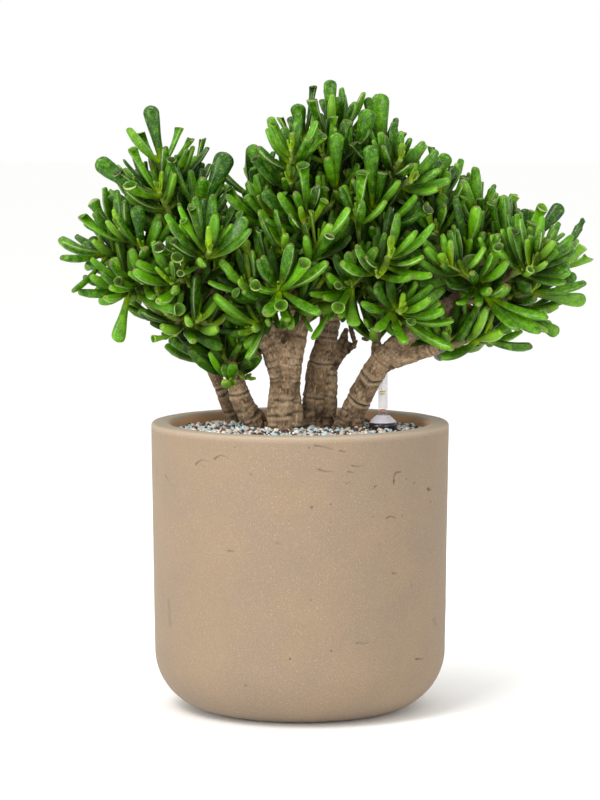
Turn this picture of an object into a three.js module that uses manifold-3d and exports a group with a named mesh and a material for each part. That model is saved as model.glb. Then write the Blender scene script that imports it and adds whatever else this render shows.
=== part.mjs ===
// A potted horntree jade plant: a cement planter, its bed of granules, five woody stems, their leafy heads
// of fleshy horn-shaped leaves, and a water gauge.
// Millimetres, +Z up, front towards -Y, origin in the middle of the pot's flat foot.
import * as THREE from "three";
import { mergeVertices } from "three/addons/utils/BufferGeometryUtils.js";
import Module from "manifold-3d";

const wasm = await Module();
wasm.setup();

// Driving dimensions
const POT = {
  radius: 149,
  footRadius: 146,
  height: 288,
  wall: 20,
  floor: 22,
  corner: 60,
  innerCorner: 44,
  draft: 3, // by how much the inside narrows towards the floor
  lip: 5,
  sides: 32,
};
const BED = { edge: 275, crown: 3, ripple: 1, rings: 3 };
const GAUGE = {
  across: 83,
  depth: 3,
  tubeRadius: 5.2,
  wall: 1,
  top: 346,
  funnelTop: 294,
  funnelFoot: 286,
  collarRadius: 14,
  collarFoot: 266,
  pipeRadius: 7,
  pipeFoot: 26,
  inletRadius: 2,
  rodRadius: 1.1,
  bulbRadius: 4.2,
  bulbLength: 46,
  pointerRadius: 2.6,
  pointerLength: 5,
  pointerRise: 0.6,
  sides: 14,
  smallSides: 8,
};
const GAP = 0.3; // between pieces that touch
const HOLE_GAP = 0.6; // round a stem or the gauge in the bed
const EYE = { distance: 3400, height: 639 }; // where the front view is seen from
const UP = new THREE.Vector3(0, 0, 1);
const BARE = { left: -40, right: 62, top: 382 }; // where the front view shows the stems below the leaves

// Woody stems. A limb's points are [across, up, depth, radius]: across and up as seen in the front view,
// depth behind the pot's axis. The first limb of a stem stands in the bed, and the others leave it. Each
// bears the leafy head that it names at its end, or none.
const limb = (bears, ...route) => ({ bears, route });
const STEMS = {
  stem_front: [
    limb(
      null, [-14, 238, 3, 16], [-14, 284, 2, 15.5], [-15, 325, 0, 15], [-14, 350, -2, 17], [-13, 370, -4, 18],
      [-10, 382, -3, 11],
    ),
    limb(
      "crown_left_inner", [-18, 360, -4, 14], [-38, 383, -8, 10.5], [-68, 404, -12, 8.5], [-92, 418, -12, 7],
    ),
    limb(
      "crown_left_outer", [-68, 404, -12, 7.5], [-96, 410, 6, 6.5], [-120, 422, 14, 5.8], [-136, 434, 10, 5],
    ),
    limb("crown_left_upper", [-76, 406, -12, 7.5], [-92, 430, 6, 6.2], [-104, 448, 10, 5.2]),
    limb("crown_left_low", [-98, 411, 6, 6], [-106, 400, -6, 5], [-112, 391, -16, 4.5]),
    limb("crown_centre_left", [-8, 368, -2, 13.5], [0, 395, 6, 11], [6, 420, 10, 9], [4, 444, 12, 7.5]),
    limb("crown_front", [-3, 386, 3, 9.5], [-10, 396, -20, 8], [-14, 406, -38, 6.5]),
    limb("crown_back_left", [2, 402, 8, 8.5], [-8, 424, 40, 7], [-16, 438, 66, 6]),
  ],
  stem_middle: [
    limb(
      "crown_centre_top", [18, 240, 36, 17], [18, 282, 34, 16.5], [17, 310, 32, 15], [21, 345, 30, 13.5],
      [27, 372, 28, 11], [34, 408, 22, 10], [44, 444, 15, 8],
    ),
    limb(null, [26, 344, 32, 8], [41, 362, 38, 6.5], [54, 363, 42, 3]),
    limb(null, [39, 360, 37, 5.5], [46, 379, 38, 3]),
    limb("crown_back", [34, 408, 22, 8], [44, 428, 48, 6.5], [50, 440, 70, 6]),
    limb("crown_front_right", [32, 398, 22, 8], [46, 416, 4, 7], [56, 430, -12, 6]),
  ],
  stem_right: [
    limb(
      "crown_right_upper", [44, 250, 18, 13], [49, 286, 13, 12.5], [60, 312, 2, 12], [75, 339, -18, 12],
      [86, 353, -22, 12], [104, 371, -22, 9.5], [128, 391, -20, 8.5], [147, 404, -16, 7.5],
      [160, 414, -11, 6.5],
    ),
    limb("crown_right_low", [80, 344, -15, 9], [98, 350, -22, 8.5], [122, 357, -27, 7], [138, 361, -30, 5.5]),
    limb("crown_middle_right", [126, 390, -20, 7.5], [133, 416, -6, 6.5], [137, 440, 4, 5.5]),
    limb("crown_back_right", [138, 398, -17, 6.8], [152, 399, 12, 5.8], [160, 408, 38, 5]),
    limb("crown_right_outer", [145, 402, -16, 6.5], [170, 397, -12, 5.6], [188, 404, -9, 5.2]),
    limb("crown_fork_right", [80, 346, -16, 8], [77, 358, -15, 6.5], [76, 366, -13, 5]),
  ],
  stem_left: [
    limb(
      "crown_low_left", [-38, 254, 28, 12], [-42, 282, 19, 11.5], [-56, 304, 13, 11], [-63, 324, 9, 9.5],
      [-66, 338, 8, 8],
    ),
  ],
  stem_far_left: [
    limb("crown_low_back", [-60, 262, 78, 7.5], [-68, 292, 70, 7.2], [-81, 326, 58, 6.6], [-89, 342, 50, 6]),
  ],
};

// Leafy heads. Each shoot has its growing tip at [across, up, depth], then those of its leaves that stand out
// from the rest: their far ends across, up and in depth, and their width.
const shoot = (tip, ...named) => ({ tip, named });
const leaf = (kind) => (across, up, depth, width) => ({ kind, place: [across, up, depth], width });
const [finger, trumpet, spoon] = ["finger", "trumpet", "spoon"].map(leaf);
const HEADS = {
  crown_left_outer: [
    shoot([-194, 458, -10], finger(-244, 471, -22, 13), finger(-239, 452, -38, 9), finger(-227, 418, -48, 9)),
    shoot(
      [-172, 417, -38],
      spoon(-182, 369, -48, 14), trumpet(-121, 400, -70, 12), finger(-198, 437, -62, 8),
      finger(-201, 408, -30, 9),
    ),
    shoot([-157, 462, -45], spoon(-162, 504, -62, 14), finger(-183, 494, -50, 8)),
    shoot([-188, 481, 14], trumpet(-205, 506, 12, 12), finger(-215, 486, 2, 8)),
    shoot([-178, 432, 50]),
    shoot([-190, 466, 66]),
  ],
  crown_left_upper: [
    shoot([-137, 549, -8], spoon(-149, 603, -12, 16), finger(-171, 581, -18, 12), trumpet(-120, 580, 6, 9)),
    shoot(
      [-140, 517, -38],
      spoon(-202, 549, -30, 16), trumpet(-181, 537, -54, 14), trumpet(-169, 524, -76, 14),
      trumpet(-166, 559, -46, 9),
    ),
    shoot([-100, 502, -30], spoon(-72, 557, -38, 19), finger(-96, 532, -62, 11), trumpet(-127, 549, -56, 10)),
    shoot([-110, 524, 20], trumpet(-97, 569, 24, 9)),
    shoot([-150, 516, 50]),
    shoot([-108, 498, 72]),
    shoot([-84, 476, 58]),
  ],
  crown_left_inner: [
    shoot(
      [-100, 457, -62],
      finger(-67, 485, -84, 9), finger(-111, 484, -84, 7), trumpet(-140, 462, -94, 12),
      trumpet(-122, 452, -104, 12),
    ),
    shoot([-121, 438, -58], finger(-163, 447, -80, 11)),
    shoot([-82, 474, -36], finger(-88, 506, -46, 9), finger(-64, 505, -34, 8)),
    shoot([-60, 450, -18]),
  ],
  crown_left_low: [
    shoot([-134, 396, -42]),
    shoot([-125, 374, -22], finger(-150, 388, -24, 9)),
    shoot([-102, 388, -50], finger(-103, 436, -70, 12)),
    shoot([-144, 394, 30]),
    shoot([-106, 388, 52]),
  ],
  crown_low_left: [
    shoot(
      [-78, 352, -14],
      finger(-93, 394, -20, 12), finger(-84, 414, -4, 10), finger(-117, 384, -18, 11),
      finger(-113, 366, -26, 9),
    ),
    shoot([-69, 323, -30], finger(-77, 345, -36, 9), finger(-66, 347, -38, 10)),
    shoot([-56, 346, 2], finger(-38, 366, 0, 13), finger(-43, 388, 8, 10), finger(-64, 392, 12, 10)),
  ],
  crown_low_back: [
    shoot([-100, 352, 44], spoon(-130, 372, 36, 10)),
    shoot([-88, 370, 68]),
    shoot([-112, 368, 66]),
  ],
  crown_centre_left: [
    shoot([-7, 547, -24], finger(-30, 592, -34, 13), finger(-16, 582, -14, 10), finger(20, 579, -50, 11)),
    shoot([-11, 530, -46], spoon(-51, 563, -54, 14)),
    shoot([8, 492, -78], trumpet(3, 543, -98, 13), finger(-5, 517, -100, 10), finger(18, 524, -96, 10)),
    shoot([-38, 494, -42], finger(-44, 535, -48, 9), finger(-33, 524, -62, 8), spoon(-54, 514, -54, 11)),
    shoot([-58, 487, -8], finger(-70, 511, -12, 8)),
    shoot([5, 574, 4], trumpet(13, 621, 6, 8), spoon(-3, 605, -12, 14)),
    shoot([-40, 508, 44]),
  ],
  crown_centre_top: [
    shoot([28, 576, -14], spoon(30, 630, -20, 12)),
    shoot([34, 524, -60], spoon(36, 576, -78, 14), finger(27, 552, -92, 9)),
    shoot([54, 549, -38], spoon(68, 600, -52, 16), trumpet(47, 586, -46, 10)),
    shoot([85, 556, -6], spoon(79, 615, -14, 18), spoon(67, 611, 8, 11), finger(96, 591, -8, 8)),
    shoot([90, 542, -40], finger(110, 571, -50, 8), finger(86, 572, -60, 7)),
    shoot([42, 590, 16], finger(41, 621, 18, 9)),
    shoot([58, 558, 54]),
    shoot([20, 546, 66]),
  ],
  crown_front: [
    shoot(
      [-21, 421, -98],
      finger(-42, 450, -114, 10), finger(-9, 466, -124, 12), trumpet(4, 446, -134, 13),
      finger(28, 448, -122, 12), finger(20, 396, -130, 10), trumpet(-44, 424, -132, 12),
      trumpet(-19, 404, -142, 11), finger(-35, 396, -128, 13),
    ),
    shoot([20, 466, -96], finger(49, 502, -110, 9)),
    shoot([-54, 424, -72], finger(-80, 449, -88, 12)),
    shoot([-44, 380, -64], finger(-86, 415, -78, 12)),
    shoot([-16, 470, -88], finger(-24, 500, -100, 9)),
  ],
  crown_front_right: [
    shoot(
      [50, 423, -82],
      finger(34, 456, -98, 9), finger(48, 458, -106, 11), finger(76, 462, -102, 12),
      trumpet(38, 424, -116, 9), trumpet(38, 402, -108, 12), spoon(54, 384, -96, 12),
    ),
    shoot([56, 492, -84], trumpet(62, 536, -100, 12), finger(40, 522, -98, 9)),
    shoot([74, 504, -64], spoon(70, 564, -84, 14), trumpet(82, 536, -92, 9), finger(99, 529, -88, 9)),
    shoot([84, 486, -72], trumpet(127, 500, -98, 12), finger(116, 514, -84, 9)),
    shoot([82, 446, -70]),
  ],
  crown_middle_right: [
    shoot([135, 478, -50], finger(144, 505, -64, 8)),
    shoot([112, 527, -16], spoon(148, 554, -22, 14)),
    shoot([132, 507, 2], trumpet(142, 540, -2, 10), spoon(155, 543, 12, 12)),
    shoot([128, 500, 50]),
    shoot([146, 468, 66]),
  ],
  crown_fork_right: [
    shoot(
      [98, 399, -54],
      finger(153, 361, -86, 11), trumpet(111, 388, -96, 9), finger(153, 389, -76, 9),
      finger(140, 408, -84, 10), finger(116, 427, -82, 10),
    ),
    shoot([73, 380, -18], finger(66, 403, -32, 9)),
    shoot([94, 432, -56], finger(108, 479, -80, 11)),
  ],
  crown_right_upper: [
    shoot([167, 462, -44], finger(176, 504, -60, 13), finger(154, 514, -52, 8)),
    shoot([178, 494, -4], finger(174, 543, -8, 12), finger(161, 531, -18, 13)),
    shoot(
      [210, 460, -30],
      finger(203, 515, -34, 13), trumpet(191, 505, -46, 11), trumpet(231, 486, -52, 10),
      trumpet(241, 501, -34, 11),
    ),
    shoot([226, 468, 10], spoon(260, 505, 12, 13), spoon(224, 501, 16, 10)),
    shoot([190, 472, 50]),
  ],
  crown_right_outer: [
    shoot(
      [181, 417, -62],
      trumpet(169, 448, -84, 16), finger(198, 476, -86, 12), finger(206, 424, -98, 12),
      finger(219, 380, -90, 9), finger(240, 378, -74, 12), finger(247, 392, -86, 9),
      finger(157, 368, -62, 10),
    ),
    shoot([231, 419, -32], finger(285, 427, -38, 9), spoon(284, 409, -20, 15), spoon(222, 428, -80, 14)),
    shoot(
      [248, 447, 0],
      finger(283, 491, 4, 9), trumpet(294, 452, -6, 11), finger(277, 470, 18, 8), trumpet(258, 464, -36, 9),
    ),
    shoot([232, 398, 6], spoon(257, 376, 2, 12), spoon(274, 436, 6, 10)),
    shoot([214, 430, 54]),
  ],
  crown_right_low: [
    shoot([148, 372, -46], finger(170, 396, -54, 9)),
    shoot([186, 374, -42], finger(140, 352, -60, 10), finger(232, 364, -50, 12)),
    shoot([166, 374, 0]),
  ],
  crown_back_left: [
    shoot([-32, 470, 112]),
    shoot([-64, 446, 98]),
    shoot([-10, 506, 100]),
    shoot([8, 462, 120]),
    shoot([-24, 426, 116]),
    shoot([-56, 488, 92]),
  ],
  crown_back: [
    shoot([50, 484, 126]),
    shoot([28, 518, 100]),
    shoot([88, 470, 112]),
    shoot([70, 522, 92]),
    shoot([44, 444, 136]),
    shoot([84, 430, 116]),
  ],
  crown_back_right: [
    shoot([172, 448, 86]),
    shoot([138, 434, 92]),
    shoot([200, 430, 74]),
    shoot([166, 402, 84]),
    shoot([118, 466, 98]),
  ],
};

// The leaves of a shoot: crossed pairs, from the growing tip outwards and down its stem
const LEAF = {
  firstTilt: 16,
  tiltStep: 17,
  pairTurn: 98,
  turnSpread: 28,
  tiltSpread: 14,
  firstLength: 23,
  lengthStep: 8.5,
  longest: 49,
  lengthSpread: 0.28,
  foot: 2,
  footStep: 3.4,
  narrowest: 7.4,
  widthSpread: 3.6,
  spoonWidth: 1.25,
  rise: 0.28,
  sag: 0.1,
  sides: 4,
};
const KINDS = [["finger", 0.6], ["trumpet", 0.82], ["spoon", 1]]; // each up to a draw of this share
const SHAPES = {
  finger: { middle: [1, 0.86], far: [0.84, 0.74], farAt: 0.9, end: 1 },
  trumpet: { middle: [0.72, 0.66], far: [1.02, 0.92], farAt: 1, end: 0.88 },
  spoon: { middle: [0.6, 0.5], far: [1, 0.42], farAt: 0.84, end: 1 },
};
const BUILT_LEAVES = { few: [4], many: [1, 4, 5] }; // which of a shoot's ruled leaves stand here
const SHOOT = {
  baseRadius: 3.8,
  tipRadius: 2.4,
  leave: 5, // how far past its limb's end a shoot starts
  straight: 0.3,
  rise: 0.6,
  weakest: 0.88,
  strongest: 1.12,
  sides: 4,
};
const SEEDS = { shoot: 977, ofShoot: 7919, ofLeaf: 104729 };
const HUB = { length: 8, dome: 3, shrink: 0.88, sides: 6 };
const CLEAR = { ofOthers: 1.2, ofOwn: 0.2, turn: 17, lean: 4, tries: 6, sway: [0, -7, 7, -14, 14, -21, 21] };
const SCAR = { spacing: 36, half: 3, swell: 1.08, pinch: 0.96, sides: 8 };

// The same draws every time for the same seed
function draws(seed) {
  let state = seed >>> 0;
  return () => {
    state = (state + 0x6d2b79f5) >>> 0;
    let t = Math.imul(state ^ (state >>> 15), state | 1);
    t ^= t + Math.imul(t ^ (t >>> 7), t | 61);
    return ((t ^ (t >>> 14)) >>> 0) / 4294967296;
  };
}

// A point of the front view, in the pot's frame
function seen([across, up, depth]) {
  const spread = (EYE.distance + depth) / EYE.distance;
  return new THREE.Vector3(across * spread, depth, EYE.height + (up - EYE.height) * spread);
}

// Two vectors square to a direction, thick as near to a given one as it can be
function squareTo(direction, near) {
  const thick = near.clone().addScaledVector(direction, -near.dot(direction));
  if (thick.length() < 1e-3) thick.set(1, 0, 0).addScaledVector(direction, -direction.x);
  thick.normalize();
  return { wide: new THREE.Vector3().crossVectors(thick, direction), thick };
}

// An ellipse of points round a centre, square to a direction
function ring(centre, direction, near, halfWidth, halfThickness, sides) {
  const { wide, thick } = squareTo(direction, near);
  return Array.from({ length: sides }, (_, i) => {
    const angle = (2 * Math.PI * i) / sides;
    return centre
      .clone()
      .addScaledVector(wide, halfWidth * Math.cos(angle))
      .addScaledVector(thick, halfThickness * Math.sin(angle));
  });
}

// A solid from its corners and triangles
function solid(points, faces) {
  const vertProperties = new Float32Array(points.flatMap((p) => [p.x, p.y, p.z]));
  return new wasm.Manifold(new wasm.Mesh({ numProp: 3, vertProperties, triVerts: new Uint32Array(faces) }));
}

// A closed skin from a first point through rings of points to a last point
function skin(first, rings, last) {
  const sides = rings[0].length;
  const end = rings.length * sides + 1;
  const faces = [];
  for (let i = 0; i < sides; i++) {
    const next = (i + 1) % sides;
    faces.push(0, 1 + next, 1 + i);
    for (let band = 1; band < end - sides; band += sides)
      faces.push(band + i, band + next, band + next + sides, band + i, band + next + sides, band + i + sides);
    faces.push(end - sides + i, end - sides + next, end);
  }
  return solid([first, ...rings.flat(), last], faces);
}

const united = (solids) => solids.reduce((whole, piece) => whole.add(piece));
const bend = (from, through, to) => new THREE.QuadraticBezierCurve3(from, through, to);
const routeLine = (route) => new THREE.CatmullRomCurve3(route.map(seen), false, "catmullrom", 0.5);

function radiusAt(route, at) {
  const place = at * (route.length - 1);
  const i = Math.min(Math.floor(place), route.length - 2);
  const [[, , , from], [, , , to]] = route.slice(i);
  return from + (to - from) * (place - i);
}

// Wood
const FRONT = new THREE.Vector3(0, -1, 0);

// Rings of a round limb, one for each [place along it, share of its radius]
function limbRings(route, stations) {
  const line = routeLine(route);
  return stations.map(([at, share]) => {
    const radius = radiusAt(route, at) * share;
    return ring(line.getPoint(at), line.getTangent(at), FRONT, radius, radius, SCAR.sides);
  });
}

// A limb, swollen at each leaf scar
function limbSolid(route) {
  const line = routeLine(route);
  const length = line.getLength();
  const scars = Math.max(1, Math.round(length / SCAR.spacing));
  const stations = [[0, 1]];
  for (let k = 1; k < scars; k++) {
    stations.push([k / scars - SCAR.half / length, SCAR.pinch]);
    stations.push([k / scars, SCAR.swell]);
  }
  stations.push([1, 1]);
  return skin(line.getPoint(0), limbRings(route, stations), line.getPoint(1));
}

// What a leaf has to stay clear of: balls along every limb, shoot and leaf
const balls = [];
function addBalls(line, radius, from, steps, owner) {
  for (let i = 0; i <= steps; i++) {
    const at = from + ((1 - from) * i) / steps;
    balls.push({ centre: line.getPoint(at), radius: radius(at), ...owner });
  }
}

const limbEnds = {};
for (const [stem, limbs] of Object.entries(STEMS))
  for (const { route, bears } of limbs) {
    const line = routeLine(route);
    addBalls(line, (at) => radiusAt(route, at), 0, Math.ceil(line.getLength() / 7), { head: stem });
    limbEnds[bears] = { point: line.getPoint(1), direction: line.getTangent(1), radius: radiusAt(route, 1) };
  }

// Shoots: from the end of a head's limb each bends over to its own growing tip
const shoots = [];
for (const [head, grown] of Object.entries(HEADS)) {
  const { point, direction } = limbEnds[head];
  const foot = point.clone().addScaledVector(direction, SHOOT.leave);
  for (const { tip, named } of grown) {
    const end = seen(tip);
    const through = foot.clone().addScaledVector(direction, SHOOT.straight * foot.distanceTo(end));
    const line = bend(foot, through.lerp(foot.clone().lerp(end, 0.5), 0.5), end);
    const number = shoots.length;
    const draw = draws(number * SEEDS.shoot);
    const axis = line.getTangent(1).addScaledVector(UP, SHOOT.rise).normalize();
    const vigour = SHOOT.weakest + (SHOOT.strongest - SHOOT.weakest) * draw();
    shoots.push({ head, number, line, axis, named, vigour, turn: draw() * 360 });
    addBalls(line, () => SHOOT.tipRadius, 0, 7, { head, shoot: number });
  }
}

// The point of a shoot's own line that lies some way down from its tip
const downShoot = ({ line }, way) => line.getPoint(1 - way / line.getLength());

// A leaf's middle line, sagging a little between its foot and its far end
function leafLine(foot, far) {
  return bend(foot, foot.clone().lerp(far, 0.5).addScaledVector(UP, -LEAF.sag * foot.distanceTo(far)), far);
}

// Whether a leaf is clear of all other heads and wood, and of its own head's other shoots and leaves too
function isClear(grown, ofOwn) {
  return [0.4, 0.6, 0.8, 1].every((at) => {
    const point = grown.line.getPoint(at);
    return balls.every(({ centre, radius, head, shoot }) => {
      if (head === grown.head && (!ofOwn || shoot === grown.shoot)) return true;
      const gap = head === grown.head ? CLEAR.ofOwn : CLEAR.ofOthers;
      return point.distanceTo(centre) > grown.width / 2 + radius + gap;
    });
  });
}

const leaves = [];
function addLeaf(grown) {
  if (!grown) return;
  leaves.push(grown);
  addBalls(grown.line, () => grown.width / 2, 0.3, 4, { head: grown.head });
}

// A leaf that stands out, moved towards or away from the eye where another head is in its way
function namedLeaf({ place: [across, up, depth], width, kind }, grown) {
  const foot = downShoot(grown, 2 * LEAF.foot);
  for (const sway of CLEAR.sway) {
    const line = leafLine(foot, seen([across, up, depth + sway]));
    const candidate = { line, width, kind, facing: grown.axis, head: grown.head, shoot: grown.number };
    if (isClear(candidate, false)) return candidate;
  }
  return null;
}

// Whether a leaf hangs in front of or behind the bare stems
function hidesStems({ line }) {
  return [0.6, 1].some((at) => {
    const { x, y, z } = line.getPoint(at);
    const spread = (EYE.distance + y) / EYE.distance;
    const [across, up] = [x / spread, EYE.height + (z - EYE.height) / spread];
    return across > BARE.left && across < BARE.right && up < BARE.top;
  });
}

// One of a shoot's leaves by the rule of crossed pairs, at the first of a few turns that is clear
function ruledLeaf(index, { number, vigour, axis, turn, line: stem, head }) {
  const draw = draws(number * SEEDS.ofShoot + index * SEEDS.ofLeaf);
  const pair = Math.floor(index / 2);
  const swing = turn + pair * LEAF.pairTurn + (index % 2) * 180 + (draw() - 0.5) * LEAF.turnSpread;
  const lean = LEAF.firstTilt + LEAF.tiltStep * pair + (draw() - 0.5) * LEAF.tiltSpread;
  const usual = Math.min(LEAF.firstLength + LEAF.lengthStep * pair, LEAF.longest) * vigour;
  const length = usual * (1 + (draw() - 0.5) * LEAF.lengthSpread);
  const narrow = LEAF.narrowest + LEAF.widthSpread * draw();
  const choice = draw();
  const [kind] = KINDS.find(([, share]) => choice <= share);
  const width = kind === "spoon" ? narrow * LEAF.spoonWidth : narrow;
  const foot = downShoot({ line: stem }, LEAF.foot + LEAF.footStep * pair);
  for (let attempt = 0; attempt < CLEAR.tries; attempt++) {
    const side = attempt % 2 ? 1 : -1;
    const direction = leaning(axis, swing + side * CLEAR.turn * attempt, lean + CLEAR.lean * (attempt % 3));
    const line = leafLine(foot, foot.clone().addScaledVector(direction, length));
    const candidate = { line, width, kind, facing: axis, head, shoot: number };
    if (isClear(candidate, true) && !hidesStems(candidate)) return candidate;
  }
  return null;
}

// A direction that leans away from an axis by some degrees, swung round it by others, and rises a little
function leaning(axis, swing, lean) {
  const { wide, thick } = squareTo(axis, UP);
  const [round, away] = [swing, lean].map(THREE.MathUtils.degToRad);
  const outward = wide.multiplyScalar(Math.cos(round)).addScaledVector(thick, Math.sin(round));
  const direction = axis.clone().multiplyScalar(Math.cos(away)).addScaledVector(outward, Math.sin(away));
  return direction.addScaledVector(UP, LEAF.rise).normalize();
}

for (const grown of shoots) for (const named of grown.named) addLeaf(namedLeaf(named, grown));
for (const grown of shoots)
  for (const index of grown.named.length > 1 ? BUILT_LEAVES.few : BUILT_LEAVES.many)
    addLeaf(ruledLeaf(index, grown));

function leafSolid({ line, width, kind, facing }) {
  const { middle, far, farAt, end } = SHAPES[kind];
  const rings = [[0.5, middle], [farAt, far]].map(([at, [wide, thick]]) =>
    ring(line.getPoint(at), line.getTangent(at), facing, (width / 2) * wide, (width / 2) * thick, LEAF.sides),
  );
  return skin(line.getPoint(0), rings, line.getPoint(end));
}

function shootSolid({ line }) {
  const rings = [0.4, 1].map((at) => {
    const radius = SHOOT.baseRadius + (SHOOT.tipRadius - SHOOT.baseRadius) * at;
    return ring(line.getPoint(at), line.getTangent(at), UP, radius, radius, SHOOT.sides);
  });
  return skin(line.getPoint(0), rings, line.getPoint(1).addScaledVector(line.getTangent(1), SHOOT.tipRadius));
}

// The green end of a limb, which a head's shoots leave
function hubSolid({ point, direction, radius }) {
  const along = (way) => point.clone().addScaledVector(direction, GAP + way);
  const half = radius * HUB.shrink;
  const rings = [0, HUB.length].map((way) => ring(along(way), direction, FRONT, half, half, HUB.sides));
  return skin(along(0), rings, along(HUB.length + HUB.dome));
}

// A head's shoots and leaves, grown together
function headSolid(name) {
  const isOwn = ({ head }) => head === name;
  const stems = shoots.filter(isOwn).map(shootSolid);
  return united([hubSolid(limbEnds[name]), ...stems, ...leaves.filter(isOwn).map(leafSolid)]);
}

// A turned shape from a profile of [radius, height], which starts and ends on the axis or closes on itself
function turned(profile, sides) {
  const outline = profile.map(([radius, height]) => new THREE.Vector2(radius, height));
  return new THREE.LatheGeometry(outline, sides).rotateX(Math.PI / 2);
}

function arc(centreRadius, centreHeight, radius, from, to, steps) {
  return Array.from({ length: steps + 1 }, (_, i) => {
    const angle = THREE.MathUtils.degToRad(from + ((to - from) * i) / steps);
    return [centreRadius + radius * Math.cos(angle), centreHeight + radius * Math.sin(angle)];
  });
}

// The planter: flat foot, round corner, slightly flared wall and a soft-edged rim
function potGeometry() {
  const inner = POT.radius - POT.wall;
  return turned(
    [
      [0, 0],
      ...arc(POT.footRadius - POT.corner, POT.corner, POT.corner, -90, 0, 6),
      ...arc(POT.radius - POT.lip, POT.height - POT.lip, POT.lip, 0, 90, 2),
      ...arc(inner + POT.lip, POT.height - POT.lip, POT.lip, 90, 180, 2),
      ...arc(inner - POT.innerCorner - POT.draft, POT.floor + POT.innerCorner, POT.innerCorner, 0, -90, 4),
      [0, POT.floor],
    ],
    POT.sides,
  );
}

// Height of the granules' uneven top
function bedTop(x, y) {
  const share = Math.hypot(x, y) / (POT.radius - POT.wall);
  const ripple = Math.sin(x * 0.11 + 1.3) * Math.cos(y * 0.13) + 0.6 * Math.sin(x * 0.21 - y * 0.17);
  return BED.edge + BED.crown * (1 - share * share) + BED.ripple * ripple;
}

function bedRing(radius, height) {
  return Array.from({ length: POT.sides }, (_, i) => {
    const angle = (2 * Math.PI * i) / POT.sides;
    const [x, y] = [radius * Math.cos(angle), radius * Math.sin(angle)];
    return new THREE.Vector3(x, y, height ?? bedTop(x, y));
  });
}

// The bed of granules fills the pot's inside, with a plain hole for each stem and for the gauge
function bedSolid(holes) {
  const inner = POT.radius - POT.wall - GAP;
  const foot = POT.floor + GAP;
  const under = arc(inner - POT.innerCorner - POT.draft, foot + POT.innerCorner, POT.innerCorner, -90, 0, 4);
  const top = Array.from({ length: BED.rings }, (_, k) => bedRing(inner * (1 - k / BED.rings)));
  const rings = [...under.map(([radius, height]) => bedRing(radius, height)), ...top];
  const bed = skin(new THREE.Vector3(0, 0, foot), rings, new THREE.Vector3(0, 0, bedTop(0, 0)));
  return holes.reduce((whole, hole) => whole.subtract(hole), bed);
}

// The hole for a stem: the stem's own shape, a little wider and deeper
function stemHole({ route }) {
  const [[footAcross, footUp, footDepth, footRadius], ...others] = route;
  const wider = others.map(([across, up, depth, radius]) => [across, up, depth, radius + HOLE_GAP]);
  return limbSolid([[footAcross, footUp - HOLE_GAP, footDepth, footRadius + HOLE_GAP], ...wider]);
}

// A solid from a three.js geometry, its shared corners merged
function solidOf(geometry) {
  geometry.deleteAttribute("normal");
  geometry.deleteAttribute("uv");
  const { index, attributes } = mergeVertices(geometry, 1e-4);
  const faces = [];
  for (let i = 0; i < index.count; i += 3) {
    const corners = index.array.slice(i, i + 3);
    if (new Set(corners).size === 3) faces.push(...corners);
  }
  const vertProperties = attributes.position.array;
  return new wasm.Manifold(new wasm.Mesh({ numProp: 3, vertProperties, triVerts: new Uint32Array(faces) }));
}

function geometryOf(whole) {
  const { vertProperties, triVerts, numProp } = whole.getMesh();
  const corners = new THREE.InterleavedBuffer(vertProperties, numProp);
  return new THREE.BufferGeometry()
    .setAttribute("position", new THREE.InterleavedBufferAttribute(corners, 3, 0))
    .setIndex(new THREE.BufferAttribute(triVerts, 1));
}

// Materials
const finish = (color, roughness, opacity = 1) =>
  new THREE.MeshStandardMaterial({ color, roughness, metalness: 0, opacity, transparent: opacity < 1 });
const cement = finish(0xb89d80, 0.85);
const granules = finish(0xc9c2bb, 0.95);
const bark = finish(0x8a7159, 0.85);
const leafGreen = finish(0x3f7d22, 0.45);
const darkPlastic = finish(0x35303a, 0.4);
const clearPlastic = finish(0xdfe0e6, 0.15, 0.4);
const redPlastic = finish(0xb8301c, 0.4);
const whiteFoam = finish(0xe9e6df, 0.7);

const plant = new THREE.Group();
const gauge = new THREE.Group();
gauge.position.set(GAUGE.across, GAUGE.depth, 0);
plant.add(gauge);

function addMesh(group, name, geometry, material) {
  const mesh = new THREE.Mesh(geometry, material);
  mesh.name = name;
  group.add(mesh);
}

// The water gauge, turned about its own axis: a dark collar with its dip pipe, a clear tube on a funnel, and
// a float whose rod carries a red pointer
const { tubeRadius, collarRadius, pipeRadius, rodRadius, bulbRadius, pointerRadius } = GAUGE;
const tubeBore = tubeRadius - GAUGE.wall;
const pipeBore = pipeRadius - GAUGE.wall;
const collarProfile = [
  [GAUGE.inletRadius, GAUGE.pipeFoot],
  [pipeRadius, GAUGE.pipeFoot],
  [pipeRadius, GAUGE.collarFoot],
  [collarRadius - 1.5, GAUGE.collarFoot],
  [collarRadius, GAUGE.funnelFoot - 3],
  [collarRadius - 0.4, GAUGE.funnelFoot],
  [pipeBore, GAUGE.funnelFoot],
  [pipeBore, GAUGE.pipeFoot + GAUGE.wall],
  [GAUGE.inletRadius, GAUGE.pipeFoot + GAUGE.wall],
  [GAUGE.inletRadius, GAUGE.pipeFoot],
];
const tubeProfile = [
  [tubeBore, GAUGE.funnelTop],
  [collarRadius - 1 - GAUGE.wall, GAUGE.funnelFoot + GAP],
  [collarRadius - 1, GAUGE.funnelFoot + GAP],
  [tubeRadius, GAUGE.funnelTop + 1],
  [tubeRadius, GAUGE.top - 1.5],
  [tubeRadius - 1.5, GAUGE.top],
  [0, GAUGE.top],
  [0, GAUGE.top - GAUGE.wall],
  [tubeBore, GAUGE.top - GAUGE.wall - 1.5],
  [tubeBore, GAUGE.funnelTop],
];
const bulbFoot = GAUGE.pipeFoot + GAUGE.wall + GAP;
const bulbTop = bulbFoot + GAUGE.bulbLength;
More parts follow.
